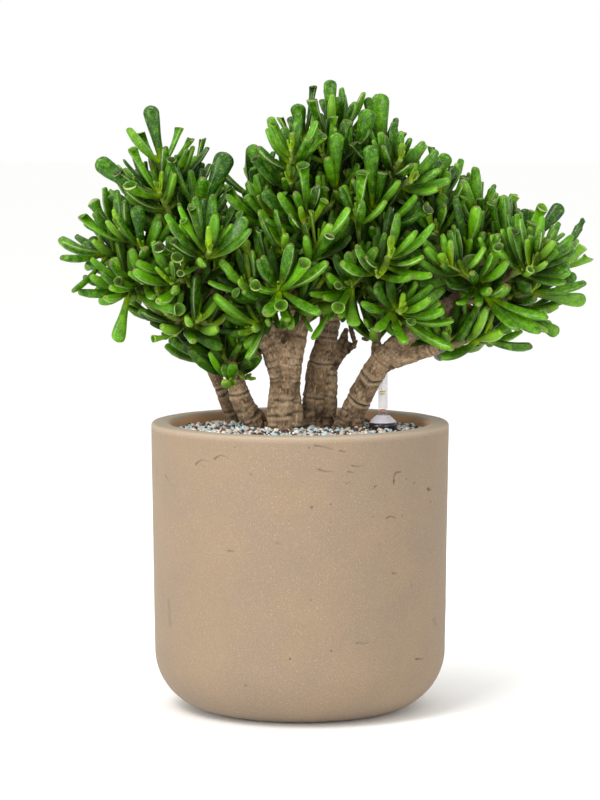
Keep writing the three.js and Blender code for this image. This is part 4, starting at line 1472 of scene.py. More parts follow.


# Hollows sunk into the wood and painted dark as painted shade: places in the front view, depth and radius
HOLLOWS: dict[str, tuple[tuple[float, float, float, float], ...]] = {
    "stem_front": ((-15, 377, -22, 4), (-14, 386, -21, 6), (-17, 368, -21, 2.6), (-3, 330, -9, 3.5)),
    "stem_middle": ((47, 357, 31, 7), (36, 345, 30, 4), (20, 292, 15, 7), (8, 300, 18, 4), (33, 286, 16, 5)),
    "stem_right": (
        (70, 362, -24, 5), (86, 344, -26, 5), (62, 286, -8, 6), (52, 296, 0, 4), (96, 362, -34, 4),
    ),
    "stem_left": ((-44, 296, 8, 4), (-50, 288, 14, 4)),
    "stem_far_left": ((-72, 300, 62, 3),),
}


@dataclass
class Wood:
    """A stem: its limbs grown together under gnarled bark with ring scars."""

    name: str
    limbs: list[Limb]
    scars: tuple[Pair, ...]
    number: int
    sides: int = 16
    spacing: float = 2.5
    voxel: float = 1.5
    dome: tuple[Pair, ...] = ((0.4, 0.92), (0.7, 0.72), (0.88, 0.42))  # a limb's rounded end
    scar_spacing: Pair = (7.0, 15.0)
    other_scars: float = 380.0  # how high the first limb's other scars start
    ground: float = 281.0  # about how high the granules lie
    clearance: float = 0.8  # between the bark and the granules
    foot: Pair = (302.0, 284.0)  # from where down to where the bark turns dark and rough

    def build(self, bark: Material) -> None:
        """Build the stem and dress it.

        Args:
            bark: Its material.
        """
        maker = MeshMaker()
        for grown in self.limbs:
            curve = grown.curve()
            at = np.linspace(0, 1, int(curve.length() / self.spacing) + 2)
            rings = tube_rings(curve, at, grown.radius(at), self.sides, FRONT)
            end, way, radius = curve.point(1), curve.tangent(1), grown.points[-1][3]
            dome = [end + way * (radius * out) + (rings[-1] - end) * share for out, share in self.dome]
            rings = np.concatenate((rings, np.array(dome)))
            maker.skin(rings, first=curve.point(0), last=end + way * radius * 0.95)
        rough = maker.piece(f"{self.name}_rough", [])
        grown_together = rough.modifiers.new("grown_together", "REMESH")
        grown_together.mode = "VOXEL"
        grown_together.voxel_size = self.voxel * MM
        softened = rough.modifiers.new("softened", "SMOOTH")
        softened.iterations = 3
        graph = bpy.context.evaluated_depsgraph_get()
        mesh = bpy.data.meshes.new_from_object(rough.evaluated_get(graph))
        bpy.data.objects.remove(rough)
        mesh.materials.clear()
        wood = new_piece(self.name.replace("stem", "wood"), mesh, [bark])
        mesh.polygons.foreach_set("use_smooth", np.full(len(mesh.polygons), True))
        self.shape(mesh)
        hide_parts(self.name)

    def shape(self, mesh: Mesh) -> None:
        """Wrinkle the bark, cut its ring scars, and keep what the shader reads.

        Args:
            mesh: The stem's mesh.
        """
        points = read_points(mesh)
        middles, ways, radii, alongs, owners = self.samples()
        nearest = np.empty(len(points), int)
        for start in range(0, len(points), 2000):
            part = points[start : start + 2000, None]
            nearest[start : start + 2000] = (lengths(part - middles) - radii).argmin(axis=1)
        middle, way, radius, owner = middles[nearest], ways[nearest], radii[nearest], owners[nearest]
        off = points - middle
        along = alongs[nearest] + np.einsum("ij,ij->i", off, way)
        off -= way * np.einsum("ij,ij->i", off, way)[:, None]
        reach = lengths(off)
        outward = off / np.maximum(reach, 1e-6)[:, None]
        wide, thick = square_to(way, FRONT)
        turn = (np.einsum("ij,ij->i", outward, wide), np.einsum("ij,ij->i", outward, thick))
        belt = np.stack((turn[0] * radius * 0.4, turn[1] * radius * 0.4, along * 1.7), axis=1)
        strand = np.stack((turn[0] * radius, turn[1] * radius, along * 0.4), axis=1)
        foot = smooth(-points[:, 2], -self.foot[0], -self.foot[1]) * (self.number in (1, 2, 3))
        wrinkle = waves(belt, 3.4, self.number + 11)
        wobble = 1.6 * waves(points, 9, self.number + 21)
        push = 0.8 * waves(points, 13, self.number) + (0.5 + foot) * waves(points, 5, self.number + 31)
        push += 0.5 * wrinkle + (0.45 + foot) * waves(strand, 3, self.number + 41)
        scar, lip = self.rings(along + wobble, owner, points)
        hollow = np.zeros(len(points))
        for across, up, depth, reach in HOLLOWS[self.name]:
            away = lengths(points - EYE.point(across, up, depth))
            hollow = np.maximum(hollow, np.exp(-((away / reach) ** 2)))
        push += hollow * (2 * waves(points, 4, self.number + 71) - 1.6)
        size = np.clip(radius / 9, 0.35, 1.15)
        points += outward * ((push + lip * 0.6) * size - scar * size)[:, None]
        write_points(mesh, points)
        write_numbers(mesh, "scar", np.clip(scar * 0.95, 0, 1))
        write_numbers(mesh, "lip", np.clip(lip, 0, 1))
        write_numbers(mesh, "rise", push)
        foot = foot * np.clip(0.6 + waves(points, 6, self.number + 61), 0, 1)
        # painted shade: the hollows are darkened through the "foot" number too
        foot = np.maximum(foot, hollow * np.clip(0.7 + 1.5 * waves(points, 3, self.number + 81), 0, 1))
        write_numbers(mesh, "foot", foot)
        write_numbers(mesh, "grain", (strand + 40 * owner[:, None]) * MM)

    def stands(self) -> tuple[float, float, float]:
        """Where the granules leave room for it, as a place across and along the bed with a radius."""
        line = self.limbs[0].curve().points(np.linspace(0, 1, 60))
        x, y, _ = line[np.abs(line[:, 2] - self.ground).argmin()]
        return x, y, self.limbs[0].points[1][3] + self.clearance

    def samples(self) -> tuple[Array, Array, Array, Array, Array]:
        """Places along the limbs: middles, directions, radii, ways from the limb's foot and limb numbers."""
        parts = []
        for number, grown in enumerate(self.limbs):
            curve = grown.curve()
            length = curve.length()
            at = np.linspace(0, 1, int(length / 1.5) + 2)
            places = (curve.points(at), curve.tangents(at), grown.radius(at), at * length)
            parts.append((*places, np.full(len(at), number)))
        return tuple(np.concatenate([part[k] for part in parts]) for k in range(5))

    def rings(self, along: Array, owner: Array, points: Array) -> tuple[Array, Array]:
        """The ring scars' grooves and the lips beside them.

        Args:
            along: How far along its limb each point is.
            owner: The number of its limb.
            points: The points.

        Returns:
            How deep each point's groove is and how high its lip, in millimetres.
        """
        draw = Draws(self.number * 37 + 5)
        scar, lip = np.zeros(len(along)), np.zeros(len(along))
        fade = 0.75 + 0.5 * waves(points, 8, self.number + 51)
        for number, grown in enumerate(self.limbs):
            curve = grown.curve()
            length = curve.length()
            at = np.linspace(0, 1, 400)
            _, ups = EYE.seen(curve.points(at))
            stops, place = [], 5.0
            if number == 0:
                stops = [(at[np.abs(ups - up).argmin()] * length, depth) for up, depth in self.scars]
                place = max(at[np.abs(ups - self.other_scars).argmin()] * length, place)
            while place < length:
                stops.append((place, draw.between(0.45, 1.1)))
                place += draw.between(*self.scar_spacing)
            own = owner == number
            for stop, depth in stops:
                away = along - stop
                scar = np.maximum(scar, own * depth * fade * np.exp(-((away / 1.05) ** 2)))
                lip = np.maximum(lip, own * depth * 0.6 * np.exp(-(((np.abs(away) - 2.6) / 1.3) ** 2)))
        return scar, lip


# Thin dry twigs and stubs, as limbs of their own
TWIGS = (
    limb(None, (50, 384, 36, 2.2), (52, 376, 34, 2.6), (54, 368, 34, 2.0), (53, 361, 34, 0.9)),
    limb(None, (62, 371, 30, 1.6), (67, 370, 28, 2.1), (70, 374, 27, 1.2)),
    limb(None, (162, 415, -11, 2.0), (161, 404, -16, 1.7), (156, 393, -19, 1.9), (152, 383, -20, 1.1)),
    limb(None, (-88, 434, 4, 3.4), (-83, 442, 2, 3.1), (-79, 448, 0, 3.2)),
    limb(None, (-33, 272, 6, 3.2), (-33, 281, 5, 2.9), (-34, 287, 4, 2.4)),
    limb(None, (44, 356, 32, 2.6), (46, 366, 30, 2.2), (47, 374, 29, 1.2)),
    limb(None, (50, 360, 31, 2.2), (54, 364, 29, 2.0), (57, 369, 28, 1.0)),
    limb(None, (5, 292, 20, 1.5), (3, 286, 16, 1.3), (0, 278, 14, 1.1)),
    limb(None, (31, 296, 18, 1.4), (36, 288, 12, 1.2), (41, 280, 10, 1.0)),
)


def build_twigs(bark: Material) -> None:
    """Build the dry twigs and stubs.

    Args:
        bark: Their material.
    """
    maker = MeshMaker("scar", "lip")
    for number, twig in enumerate(TWIGS):
        curve = twig.curve()
        at = np.linspace(0, 1, 22)
        rings = tube_rings(curve, at, twig.radius(at), 12, FRONT)
        middle = curve.points(at)[:, None]
        rough = waves(rings.reshape(-1, 3), 2.4, 300 + number).reshape(rings.shape[:2])
        rings = middle + (rings - middle) * (1 + 0.28 * rough)[..., None]
        maker.skin(rings, first=curve.point(0), last=curve.point(1), scar=np.clip(0.2 - rough, 0, 0.6))
    twigs = maker.piece("twigs", [bark])
    write_numbers(twigs.data, "grain", read_points(twigs.data) * MM)


# Growth


@dataclass(frozen=True)
class Leaf:
    """A leaf: its middle line from its foot to its far end, its width and form, and the way that its inner
    side faces."""

    line: Bend
    width: float
    kind: LeafKind
    facing: Array
    head: str
    shoot: int
    age: float  # from 0 at a growing tip to 1 for the lowest leaves
    named: bool = False

@dataclass(frozen=True)
class Shoot:
    """A shoot of a head: its line and what its leaves follow."""

    head: str
    number: int
    line: Bend
    axis: Array
    vigour: float
    turn: float
    named: tuple[NamedLeaf, ...]

    def first_leaves(self) -> tuple[int, ...]:
        """The numbers of those of its ruled leaves that the solids have."""
        return (4,) if len(self.named) > 1 else (1, 4, 5)

    def below_tip(self, way: float) -> Array:
        """The point of its line that lies some way down from its tip."""
        return self.line.point(1 - way / self.line.length())


class Room:
    """The room that wood, shoots and leaves take up, as balls."""

    REACH = 24.0  # how far round a point foliage shades it
    MOST = 30000  # balls

    def __init__(self) -> None:
        """Start empty."""
        self.middles = np.zeros((self.MOST, 3))
        self.radii = np.zeros(self.MOST)
        self.heads = np.zeros(self.MOST, int)
        self.shoots = np.full(self.MOST, -1)
        self.count = 0
        self.names: dict[str, int] = {}

    def number(self, head: str) -> int:
        """The number that stands for a head or stem."""
        return self.names.setdefault(head, len(self.names))

    def add(self, line: Curve, radii: Array, start: float, head: str, shoot: int = -1) -> None:
        """Add balls along a line.

        Args:
            line: The line.
            radii: Their radii, at even steps from the start to the line's end.
            start: The place of the first.
            head: The head or stem that they belong to.
            shoot: The number of the shoot that they belong to, or -1.
        """
        end = self.count + len(radii)
        self.middles[self.count : end] = line.points(np.linspace(start, 1, len(radii)))
        self.radii[self.count : end] = radii
        self.heads[self.count : end] = self.number(head)
        self.shoots[self.count : end] = shoot
        self.count = end

    def is_clear(self, leaf: Leaf, of_own: bool, slack: float = 0.0) -> bool:
        """Whether a leaf is clear of all other heads and of the wood.

        Args:
            leaf: The leaf.
            of_own: Whether it must be clear of its own head's other shoots and leaves too.
            slack: How far leaves may press into each other.

        Returns:
            Whether it is clear.
        """
        places = leaf.line.points(np.array((0.4, 0.6, 0.8, 1.0)))
        same = self.heads[: self.count] == self.number(leaf.head)
        passed = same & ((self.shoots[: self.count] == leaf.shoot) | (not of_own))
        room = leaf.width / 2 + self.radii[: self.count] + np.where(same, 0.2, 1.2) - slack
        middles = self.middles[: self.count]
        away = lengths(places[:, None] - middles)
        return bool(((away > room) | passed).all())

    def gap(self, point: Array) -> float:
        """How far a point is from the nearest ball."""
        away = lengths(self.middles[: self.count] - point)
        return float((away - self.radii[: self.count]).min())

    def crowding(self, points: Array) -> Array:
        """How deep inside the foliage points are, from 0 in the open to 1, which sets the leaves' painted
        shade.

        Args:
            points: The points.

        Returns:
            One value for each point.
        """
        way = self.middles[: self.count] - points[:, None]
        near = (lengths(way) < self.REACH) & (way[..., 2] > -3)
        return smooth(near.sum(axis=1), 6, 36)


@dataclass
class Growth:
    """Grows the shoots and leaves. The first of them are the solids' own, and the others fill the heads."""

    room: Room = field(default_factory=Room)
    shoots: list[Shoot] = field(default_factory=list)
    leaves: list[Leaf] = field(default_factory=list)
    sways: tuple[float, ...] = (0, -7, 7, -14, 14, -21, 21)
    fullest: int = 14
    margin: float = 1.0  # between an added leaf and the box round the solids
    fill_seed: int = 88
    fill_tries: int = 6000
    fill_most: int = 120
    fill_box: tuple[Pair, ...] = ((-220, 275), (345, 605), (-105, 118))
    fill_clear: tuple[Pair, ...] = ((0, 32), (-26, 8), (26, 8), (0, -12))
    fill_apart: Pair = (15.5, 44.0)
    slack: Pair = (0.9, 2.6)  # how far added leaves may press into others, then the last ones
    flat: Place = (1.0, 0.6, 1.0)  # added leaves turn towards the sides
    more_rise: float = 0.22
    pair_turn: float = 98.0  # degrees from one pair to the next
    swing_spread: float = 28.0
    lean: float = 16.0  # degrees of the youngest pair
    pair_lean: Pair = (17.0, 10.0)  # more for each older pair, for the solids' leaves and for added ones
    lean_spread: float = 14.0
    length: Pair = (23.0, 8.5)  # of the youngest pair, and more for each older one
    longest: float = 49.0
    length_spread: float = 0.28
    width: Pair = (7.4, 3.6)  # the least, and how much more it may be
    broader: float = 1.25  # how much broader spoons are
    spoons_from: Pair = (0.82, 0.88)  # the share of a draw, for the solids' leaves and for added ones
    trumpets_from: float = 0.78
    pair_gap: float = 3.4

    def grow(self) -> None:
        """Grow everything, the solids' own leaves first."""
        ends = {}
        for stem, limbs in STEMS.items():
            for grown in limbs:
                curve = grown.curve()
                steps = math.ceil(curve.length() / 7)
                self.room.add(curve, grown.radius(np.linspace(0, 1, steps + 1)), 0, stem)
                ends[grown.bears] = (curve.point(1), curve.tangent(1))
        self.add_heads(HEADS, ends)
        solid = len(self.shoots)
        for grown in self.shoots:
            for index in grown.first_leaves():
                self.keep(self.ruled_leaf(index, grown))
        self.add_heads(MORE_SHOOTS, ends)
        self.fill()
        for slack, start in zip(self.slack, (0, self.fullest)):
            for index in range(start, start + self.fullest):
                for grown in self.shoots:
                    if index not in grown.first_leaves() or grown.number >= solid:
                        self.keep(self.ruled_leaf(index, grown, slack))
        ends = [EYE.seen(leaf.line.end) for leaf in self.leaves]
        shown = [leaf.named or not inside(*end, OPEN) for leaf, end in zip(self.leaves, ends)]
        self.leaves = [leaf for leaf, kept in zip(self.leaves, shown) if kept]

    def add_heads(self, heads: dict[str, list[Tip]], ends: dict[str, tuple[Array, Array]]) -> None:
        """Grow shoots of the heads and their named leaves.

        Args:
            heads: The shoots' growing tips.
            ends: The ends of the limbs that bear the heads, and their directions.
        """
        first = len(self.shoots)
        for head, tips in heads.items():
            for tip in tips:
                self.add_shoot(head, *ends[head], tip)
        for grown in self.shoots[first:]:
            for named in grown.named:
                self.keep(self.named_leaf(named, grown))

    def add_shoot(self, head: str, point: Array, direction: Array, tip: Tip, leave: float = 5.0) -> None:
        """Grow a shoot from the end of its head's limb.

        Args:
            head: The head.
            point: The limb's end.
            direction: The limb's direction there.
            tip: The shoot's growing tip and named leaves.
            leave: How far past the limb's end it starts.
        """
        foot, end = point + leave * direction, EYE.point(*tip.place)
        through = foot + direction * (0.3 * np.linalg.norm(end - foot))
        line = Bend(foot, (through + (foot + end) / 2) / 2, end)
        number = len(self.shoots)
        draw = Draws(number * 977)
        axis = unit(line.tangent(1) + 0.6 * UP)
        vigour = 0.88 + 0.24 * draw()
        self.shoots.append(Shoot(head, number, line, axis, vigour, draw() * 360, tip.named))
        self.room.add(line, np.full(8, 2.4), 0, head, number)

    def fill(self) -> None:
        """Grow shoots where the heads are thin, each from the nearest shoot."""
        draw = Draws(self.fill_seed)
        first = len(self.shoots)
        for _ in range(self.fill_tries):
            across, up, depth = (draw.between(*span) for span in self.fill_box)
            if not all(inside(across + a, up + b, OUTLINE) for a, b in self.fill_clear):
                continue
            end = EYE.point(across, up, depth)
            gaps = [np.linalg.norm(grown.line.end - end) for grown in self.shoots]
            if not self.fill_apart[0] < min(gaps) < self.fill_apart[1] or self.room.gap(end) < 3:
                continue
            nearest = self.shoots[int(np.argmin(gaps))]
            foot = nearest.line.point(0.45)
            way = unit(unit(end - foot) + UP * 0.4)
            self.add_shoot(nearest.head, foot, way, Tip((across, up, depth)), 0)
            if len(self.shoots) == first + self.fill_most:
                break

    def keep(self, leaf: Leaf | None) -> None:
        """Add a leaf, where there is one."""
        if leaf:
            self.leaves.append(leaf)
            self.room.add(leaf.line, np.full(5, leaf.width / 2), 0.3, leaf.head)

    @staticmethod
    def leaf_line(foot: Array, far: Array, sag: float = 0.1) -> Bend:
        """A leaf's middle line, sagging a share of its length between its foot and its far end."""
        return Bend(foot, (foot + far) / 2 - UP * sag * np.linalg.norm(far - foot), far)

    def named_leaf(self, named: NamedLeaf, grown: Shoot) -> Leaf | None:
        """A leaf that stands out, moved towards or away from the eye where another head is in its way.

        Args:
            named: The leaf's place and width.
            grown: Its shoot.

        Returns:
            The leaf, or none.
        """
        foot = grown.below_tip(4)
        for sway in self.sways:
            line = self.leaf_line(foot, EYE.point(named.across, named.up, named.depth + sway))
            leaf = Leaf(line, named.width, named.kind, grown.axis, grown.head, grown.number, 0.6, True)
            if self.room.is_clear(leaf, False):
                return leaf
        return None

    def ruled_leaf(self, index: int, grown: Shoot, slack: float = 0.0) -> Leaf | None:
        """One of a shoot's leaves by the rule of crossed pairs, at the first of a few turns that is clear.

        Args:
            index: Its number on the shoot, counted from the growing tip.
            grown: The shoot.
            slack: How far it may press into others, or 0 for one of the solids' own.

        Returns:
            The leaf, or none.
        """
        draw = Draws(grown.number * 7919 + index * 104729)
        added = slack > 0
        pair = index % self.fullest // 2
        swing = grown.turn + pair * self.pair_turn + (index % 2) * 180 + (draw() - 0.5) * self.swing_spread
        lean = self.lean + self.pair_lean[added] * pair + (draw() - 0.5) * self.lean_spread
        length = min(self.length[0] + self.length[1] * pair, self.longest) * grown.vigour
        length *= 1 + (draw() - 0.5) * self.length_spread
        width = self.width[0] + self.width[1] * draw()
        choice = draw()
        kind = LeafKind.TRUMPET if choice > self.trumpets_from else LeafKind.FINGER
        if choice > self.spoons_from[added]:
            kind, width = LeafKind.SPOON, width * self.broader
        foot = grown.below_tip(2 + self.pair_gap * pair)
        for attempt in range(6):
            side = 1 if attempt % 2 else -1
            direction = self.leaning(grown.axis, swing + side * 17 * attempt, lean + 4 * (attempt % 3))
            if added:
                direction = unit(direction * self.flat + UP * self.more_rise)
            line = self.leaf_line(foot, foot + direction * length, 0.15 if added else 0.1)
            leaf = Leaf(line, width, kind, grown.axis, grown.head, grown.number, min(pair / 4, 1))
            if self.hides_stems(leaf) or (added and self.sticks_out(leaf)):
                continue
            if self.room.is_clear(leaf, True, slack):
                return leaf
        return None

    @staticmethod
    def hides_stems(leaf: Leaf) -> bool:
        """Whether a leaf hangs in front of or behind the bare stems."""
        return any(inside(*EYE.seen(leaf.line.point(at)), BARE) for at in (0.6, 1.0))

    @staticmethod
    def leaning(axis: Array, swing: float, lean: float) -> Array:
        """A direction that leans away from an axis and rises a little.

        Args:
            axis: The axis.
            swing: How far round the axis it leans, in degrees.
            lean: How far it leans, in degrees.

        Returns:
            The direction.
        """
        wide, thick = (row[0] for row in square_to(axis[None], UP))
        outward = wide * math.cos(math.radians(swing)) + thick * math.sin(math.radians(swing))
        return unit(axis * math.cos(math.radians(lean)) + outward * math.sin(math.radians(lean)) + UP * 0.28)

    def sticks_out(self, leaf: Leaf) -> bool:
        """Whether an added leaf reaches past the box round the solids or past the outline of the heads."""
        far, half = leaf.line.end, leaf.width / 2 + self.margin
        past = (far - half < LOW).any() or (far + half > HIGH).any()
        return past or not inside(*EYE.seen(far), OUTLINE)


def inside(across: float, up: float, outline: Sequence[Pair]) -> bool:
    """Whether a place of the front view lies inside an outline.

    Args:
        across: How far right it is.
        up: How high it is.
        outline: The outline's corners.

    Returns:
        Whether it does.
    """
    crossings = 0
    for (a, b), (c, d) in zip(outline, (*outline[1:], outline[0])):
        if (b > up) != (d > up) and across < a + (c - a) * (up - b) / (d - b):
            crossings += 1
    return crossings % 2 == 1


# Leaves


@dataclass(frozen=True)
class LeafForm:
    """How wide and thick a leaf is along its length, and the rings of its end.

    Each ring of the end is how far out it lies, as a share of the leaf's width, its share of the last
    ring's size, and how brown it is.
    """

    places: tuple[float, ...]
    wide: tuple[float, ...]
    thick: tuple[float, ...]
    body_end: float  # short of the leaf's own end, as a share of its width
    end: tuple[tuple[float, float, float], ...]
    tilt: Pair
    groove: float


FORMS = {
    LeafKind.FINGER: LeafForm(
        places=(0, 0.2, 0.45, 0.68, 0.86, 1),
        wide=(0.42, 0.58, 0.85, 1.02, 0.92, 0.58),
        thick=(0.42, 0.56, 0.76, 0.88, 0.8, 0.52),
        body_end=0.3,
        end=((0.1, 0.9, 0), (0.18, 0.7, 0.15), (0.23, 0.48, 0.6), (0.24, 0.32, 0.9), (0.2, 0.18, 1)),
        tilt=(0.0, 0.5),
        groove=0.22,
    ),
    LeafKind.TRUMPET: LeafForm(
        places=(0, 0.3, 0.6, 0.82, 0.94, 1),
        wide=(0.44, 0.54, 0.66, 0.78, 0.94, 1.1),
        thick=(0.44, 0.52, 0.64, 0.74, 0.86, 0.96),
        body_end=0.04,
        end=(
            (0.04, 1.02, 0.1), (0.07, 0.95, 0.45), (0.02, 0.84, 0.2), (-0.12, 0.68, 0.1),
            (-0.27, 0.48, 0.2), (-0.36, 0.24, 0.5),
        ),
        tilt=(0.3, 1.0),
        groove=0.28,
    ),
    LeafKind.SPOON: LeafForm(
        places=(0, 0.3, 0.5, 0.7, 0.86, 1),
        wide=(0.4, 0.48, 0.62, 0.88, 1.04, 1.0),
        thick=(0.42, 0.48, 0.52, 0.54, 0.5, 0.42),
        body_end=0.46,
        end=((0.17, 0.94, 0), (0.3, 0.79, 0), (0.4, 0.56, 0.05), (0.46, 0.28, 0.3)),
        tilt=(0.1, 0.4),
        groove=0.5,
    ),
}


@dataclass
class LeafShaper:
    """Adds leaves to a mesh, each a little unlike the others."""

    maker: MeshMaker
    room: Room
    floor_share: float = 0.03  # of the width, by which the middle of an end lies beyond its last ring
    young_width: float = 0.66  # of a young leaf, as a share of a grown one's
    bow: Pair = (-0.08, 0.08)  # sideways, as a share of the length
    sag: Pair = (0.0, 0.1)  # more than the solids' leaves have

    def add(self, leaf: Leaf, number: int, sides: int, bands: int) -> None:
        """Add a leaf.

        Args:
            leaf: The leaf.
            number: What sets its looks apart from the others'.
            sides: How many points its rings have.
            bands: How many rings its body has.
        """
        draw = Draws(number * 61 + 17)
        leaf = self.grown(leaf, draw)
        form = FORMS[leaf.kind]
        at = np.linspace(0, 1 - form.body_end * leaf.width / leaf.line.length(), bands) ** 0.92
        plump, deep = draw.between(0.95, 1.1), draw.between(0.5, 1.2) * form.groove
        half = leaf.width / 2 * plump * (1 + 0.035 * np.sin(at * 9 + 6.3 * draw()))
        wide = knots(at, form.places, form.wide) * half
        thick = knots(at, form.places, form.thick) * half * draw.between(0.9, 1.08)
        angle = turns(sides)
        rise = np.sin(angle)
        dent = (0.22 + deep * (1 - at[:, None] ** 4)) * rise**3
        lift = np.where(rise > 0, rise - dent, rise)
        side, face = self.frames(leaf, at, draw.between(-20, 20))
        x, y = wide[:, None] * np.cos(angle), thick[:, None] * lift
        rings = leaf.line.points(at)[:, None] + x[..., None] * side[:, None] + y[..., None] * face[:, None]
        rings = np.concatenate((rings, self.end_rings(leaf, form, rings[-1], face[-1], draw)))
        middle = rings[-1].mean(axis=0)
        out = self.floor_share * (1 if leaf.kind is LeafKind.SPOON else -1)
        last = middle + leaf.line.tangent(1) * out * leaf.width
        numbers = self.numbers(leaf, form, at, sides, draw)
        self.maker.skin(rings, first=leaf.line.point(0), last=last, **numbers)

    def grown(self, leaf: Leaf, draw: Draws) -> Leaf:
        """The leaf as it has grown: bowed more than the solids' leaves, and inside their box.

        Args:
            leaf: The leaf.
            draw: Where chance is drawn from.

        Returns:
            The grown leaf.
        """
        way = leaf.line.tangent(1)
        rim = 0.6 if leaf.kind is LeafKind.TRUMPET else 0.0
        half = leaf.width * (0.6 * np.sqrt(1 - way**2) + rim * np.abs(way)) + 0.6
        age = 1.0 if leaf.kind is LeafKind.SPOON else min(leaf.age / 0.6, 1)
        width = leaf.width * (self.young_width + (1 - self.young_width) * age)
        length = leaf.line.length()
        sideways = np.cross(leaf.line.end - leaf.line.start, leaf.facing) / length
        through = leaf.line.through - UP * length * draw.between(*self.sag)
        through = through + sideways * length * draw.between(*self.bow)
        line = Bend(leaf.line.start, through, np.clip(leaf.line.end, LOW + half, HIGH - half))
        facing = leaf.facing
        if leaf.named and leaf.kind is LeafKind.SPOON:
            facing = unit(leaf.facing * 0.3 - FRONT)
        return replace(leaf, line=line, width=width, facing=facing)

    @staticmethod
    def frames(leaf: Leaf, at: Array, twist: float) -> tuple[Array, Array]:
        """The sideways and inward directions along a leaf that twists by some degrees.

        Args:
            leaf: The leaf.
            at: Places along it.
            twist: How far it has twisted at its end.

        Returns:
            The directions, a row of each for each place.
        """
        side, face = square_to(leaf.line.tangents(at), leaf.facing)
        turn = np.radians(twist) * at[:, None]
        return side * np.cos(turn) + face * np.sin(turn), face * np.cos(turn) - side * np.sin(turn)

    @staticmethod
    def end_rings(leaf: Leaf, form: LeafForm, ring: Array, face: Array, draw: Draws) -> Array:
        """The rings of a leaf's end.

        Args:
            leaf: The leaf.
            form: Its form.
            ring: The last ring of its body.
            face: Its inward direction there.
            draw: Where chance is drawn from.

        Returns:
            The rings' points.
        """
        way = leaf.line.tangent(1)
        middle = ring.mean(axis=0)
        tilt = draw.between(*form.tilt)
        reach = ((ring - middle) @ face)[:, None]
        wave = 0.035 * leaf.width * np.sin(2 * np.arctan2(ring[:, 2], ring[:, 0])[:, None] + 6.3 * draw())
        made = []
        for number, (out, share, _) in enumerate(form.end):
            lean = tilt * min((number + 1) / 3, 1)
            centre = middle + way * out * leaf.width
            made.append(centre + (ring - middle) * share - way * (lean * reach * share + wave * share))
        return np.array(made)

    def numbers(self, leaf: Leaf, form: LeafForm, at: Array, sides: int, draw: Draws) -> dict[str, Array]:
        """What the shader reads at each point of a leaf.

        Args:
            leaf: The leaf.
            form: Its form.
            at: The places of its body's rings.
            sides: How many points its rings have.
            draw: Where chance is drawn from.

        Returns:
            The numbers, by name.
        """
        ends = len(form.end)
        count = len(at) + ends
        along = np.concatenate((at, np.ones(ends)))[:, None]
        edge = np.zeros((count, sides))
        # the "pale" margins: partly the leaf's own pale edge, partly a painted rim highlight
        margins = np.array((0, sides // 2)) if sides < 14 else np.array((1, 6))
        edge[: len(at), margins] = draw.between(0.35, 1.0) * smooth(at, 0.05, 0.3)[:, None]
        back = np.tile((np.sin(turns(sides)) < -0.1) * 1.0, (count, 1))
        brown = np.zeros((count, sides))
        strength = draw.between(0.5, 1.0) * smooth(np.array(leaf.age), -0.2, 0.3)
        brown[len(at) :] = strength * np.array([row[2] for row in form.end])[:, None]
        # the "shade" number is painted shade, from how crowded the foliage round each point is
        places = np.array((0, 0.35, 0.7, 1.0))
        crowding = self.room.crowding(leaf.line.points(places))
        shade = np.interp(along[:, 0], places, crowding)[:, None]
        if leaf.kind is LeafKind.TRUMPET:
            # pale cup rims: partly the rim's own colour, partly a painted highlight
            edge[len(at) : len(at) + 2] = draw.between(0.5, 0.9)
            back[len(at) :] = 0
            # painted shade inside the trumpets' cups, darker towards their floor
            shade = np.maximum(shade, np.clip((np.arange(count)[:, None] - len(at) - 1) * 0.2, 0, 0.7))
        youth = 1 - smooth(np.array(leaf.age), 0.0, 0.6)
        young = youth * (0.15 + 0.85 * (1 - smooth(along, 0.15, 0.8)))
        foot = draw.between(0.3, 0.7) + 0.3 * youth
        young = np.maximum(young, foot * (1 - smooth(along, 0.08, 0.34 + 0.25 * youth)))
        # painted light: besides each leaf's own tone, low leaves are painted lighter and top ones darker, to
        # even out how the light falls on the crown
        tint = np.clip(draw() * 0.75 + (1 - smooth(leaf.line.end[2:], 380, 560)[0]) * 0.3, 0, 1)
        if leaf.kind is LeafKind.SPOON:
            tint *= 0.6
        young = np.clip(young, 0, 1)
        return {"tint": tint, "shade": shade, "young": young, "pale": edge, "back": back, "brown": brown}


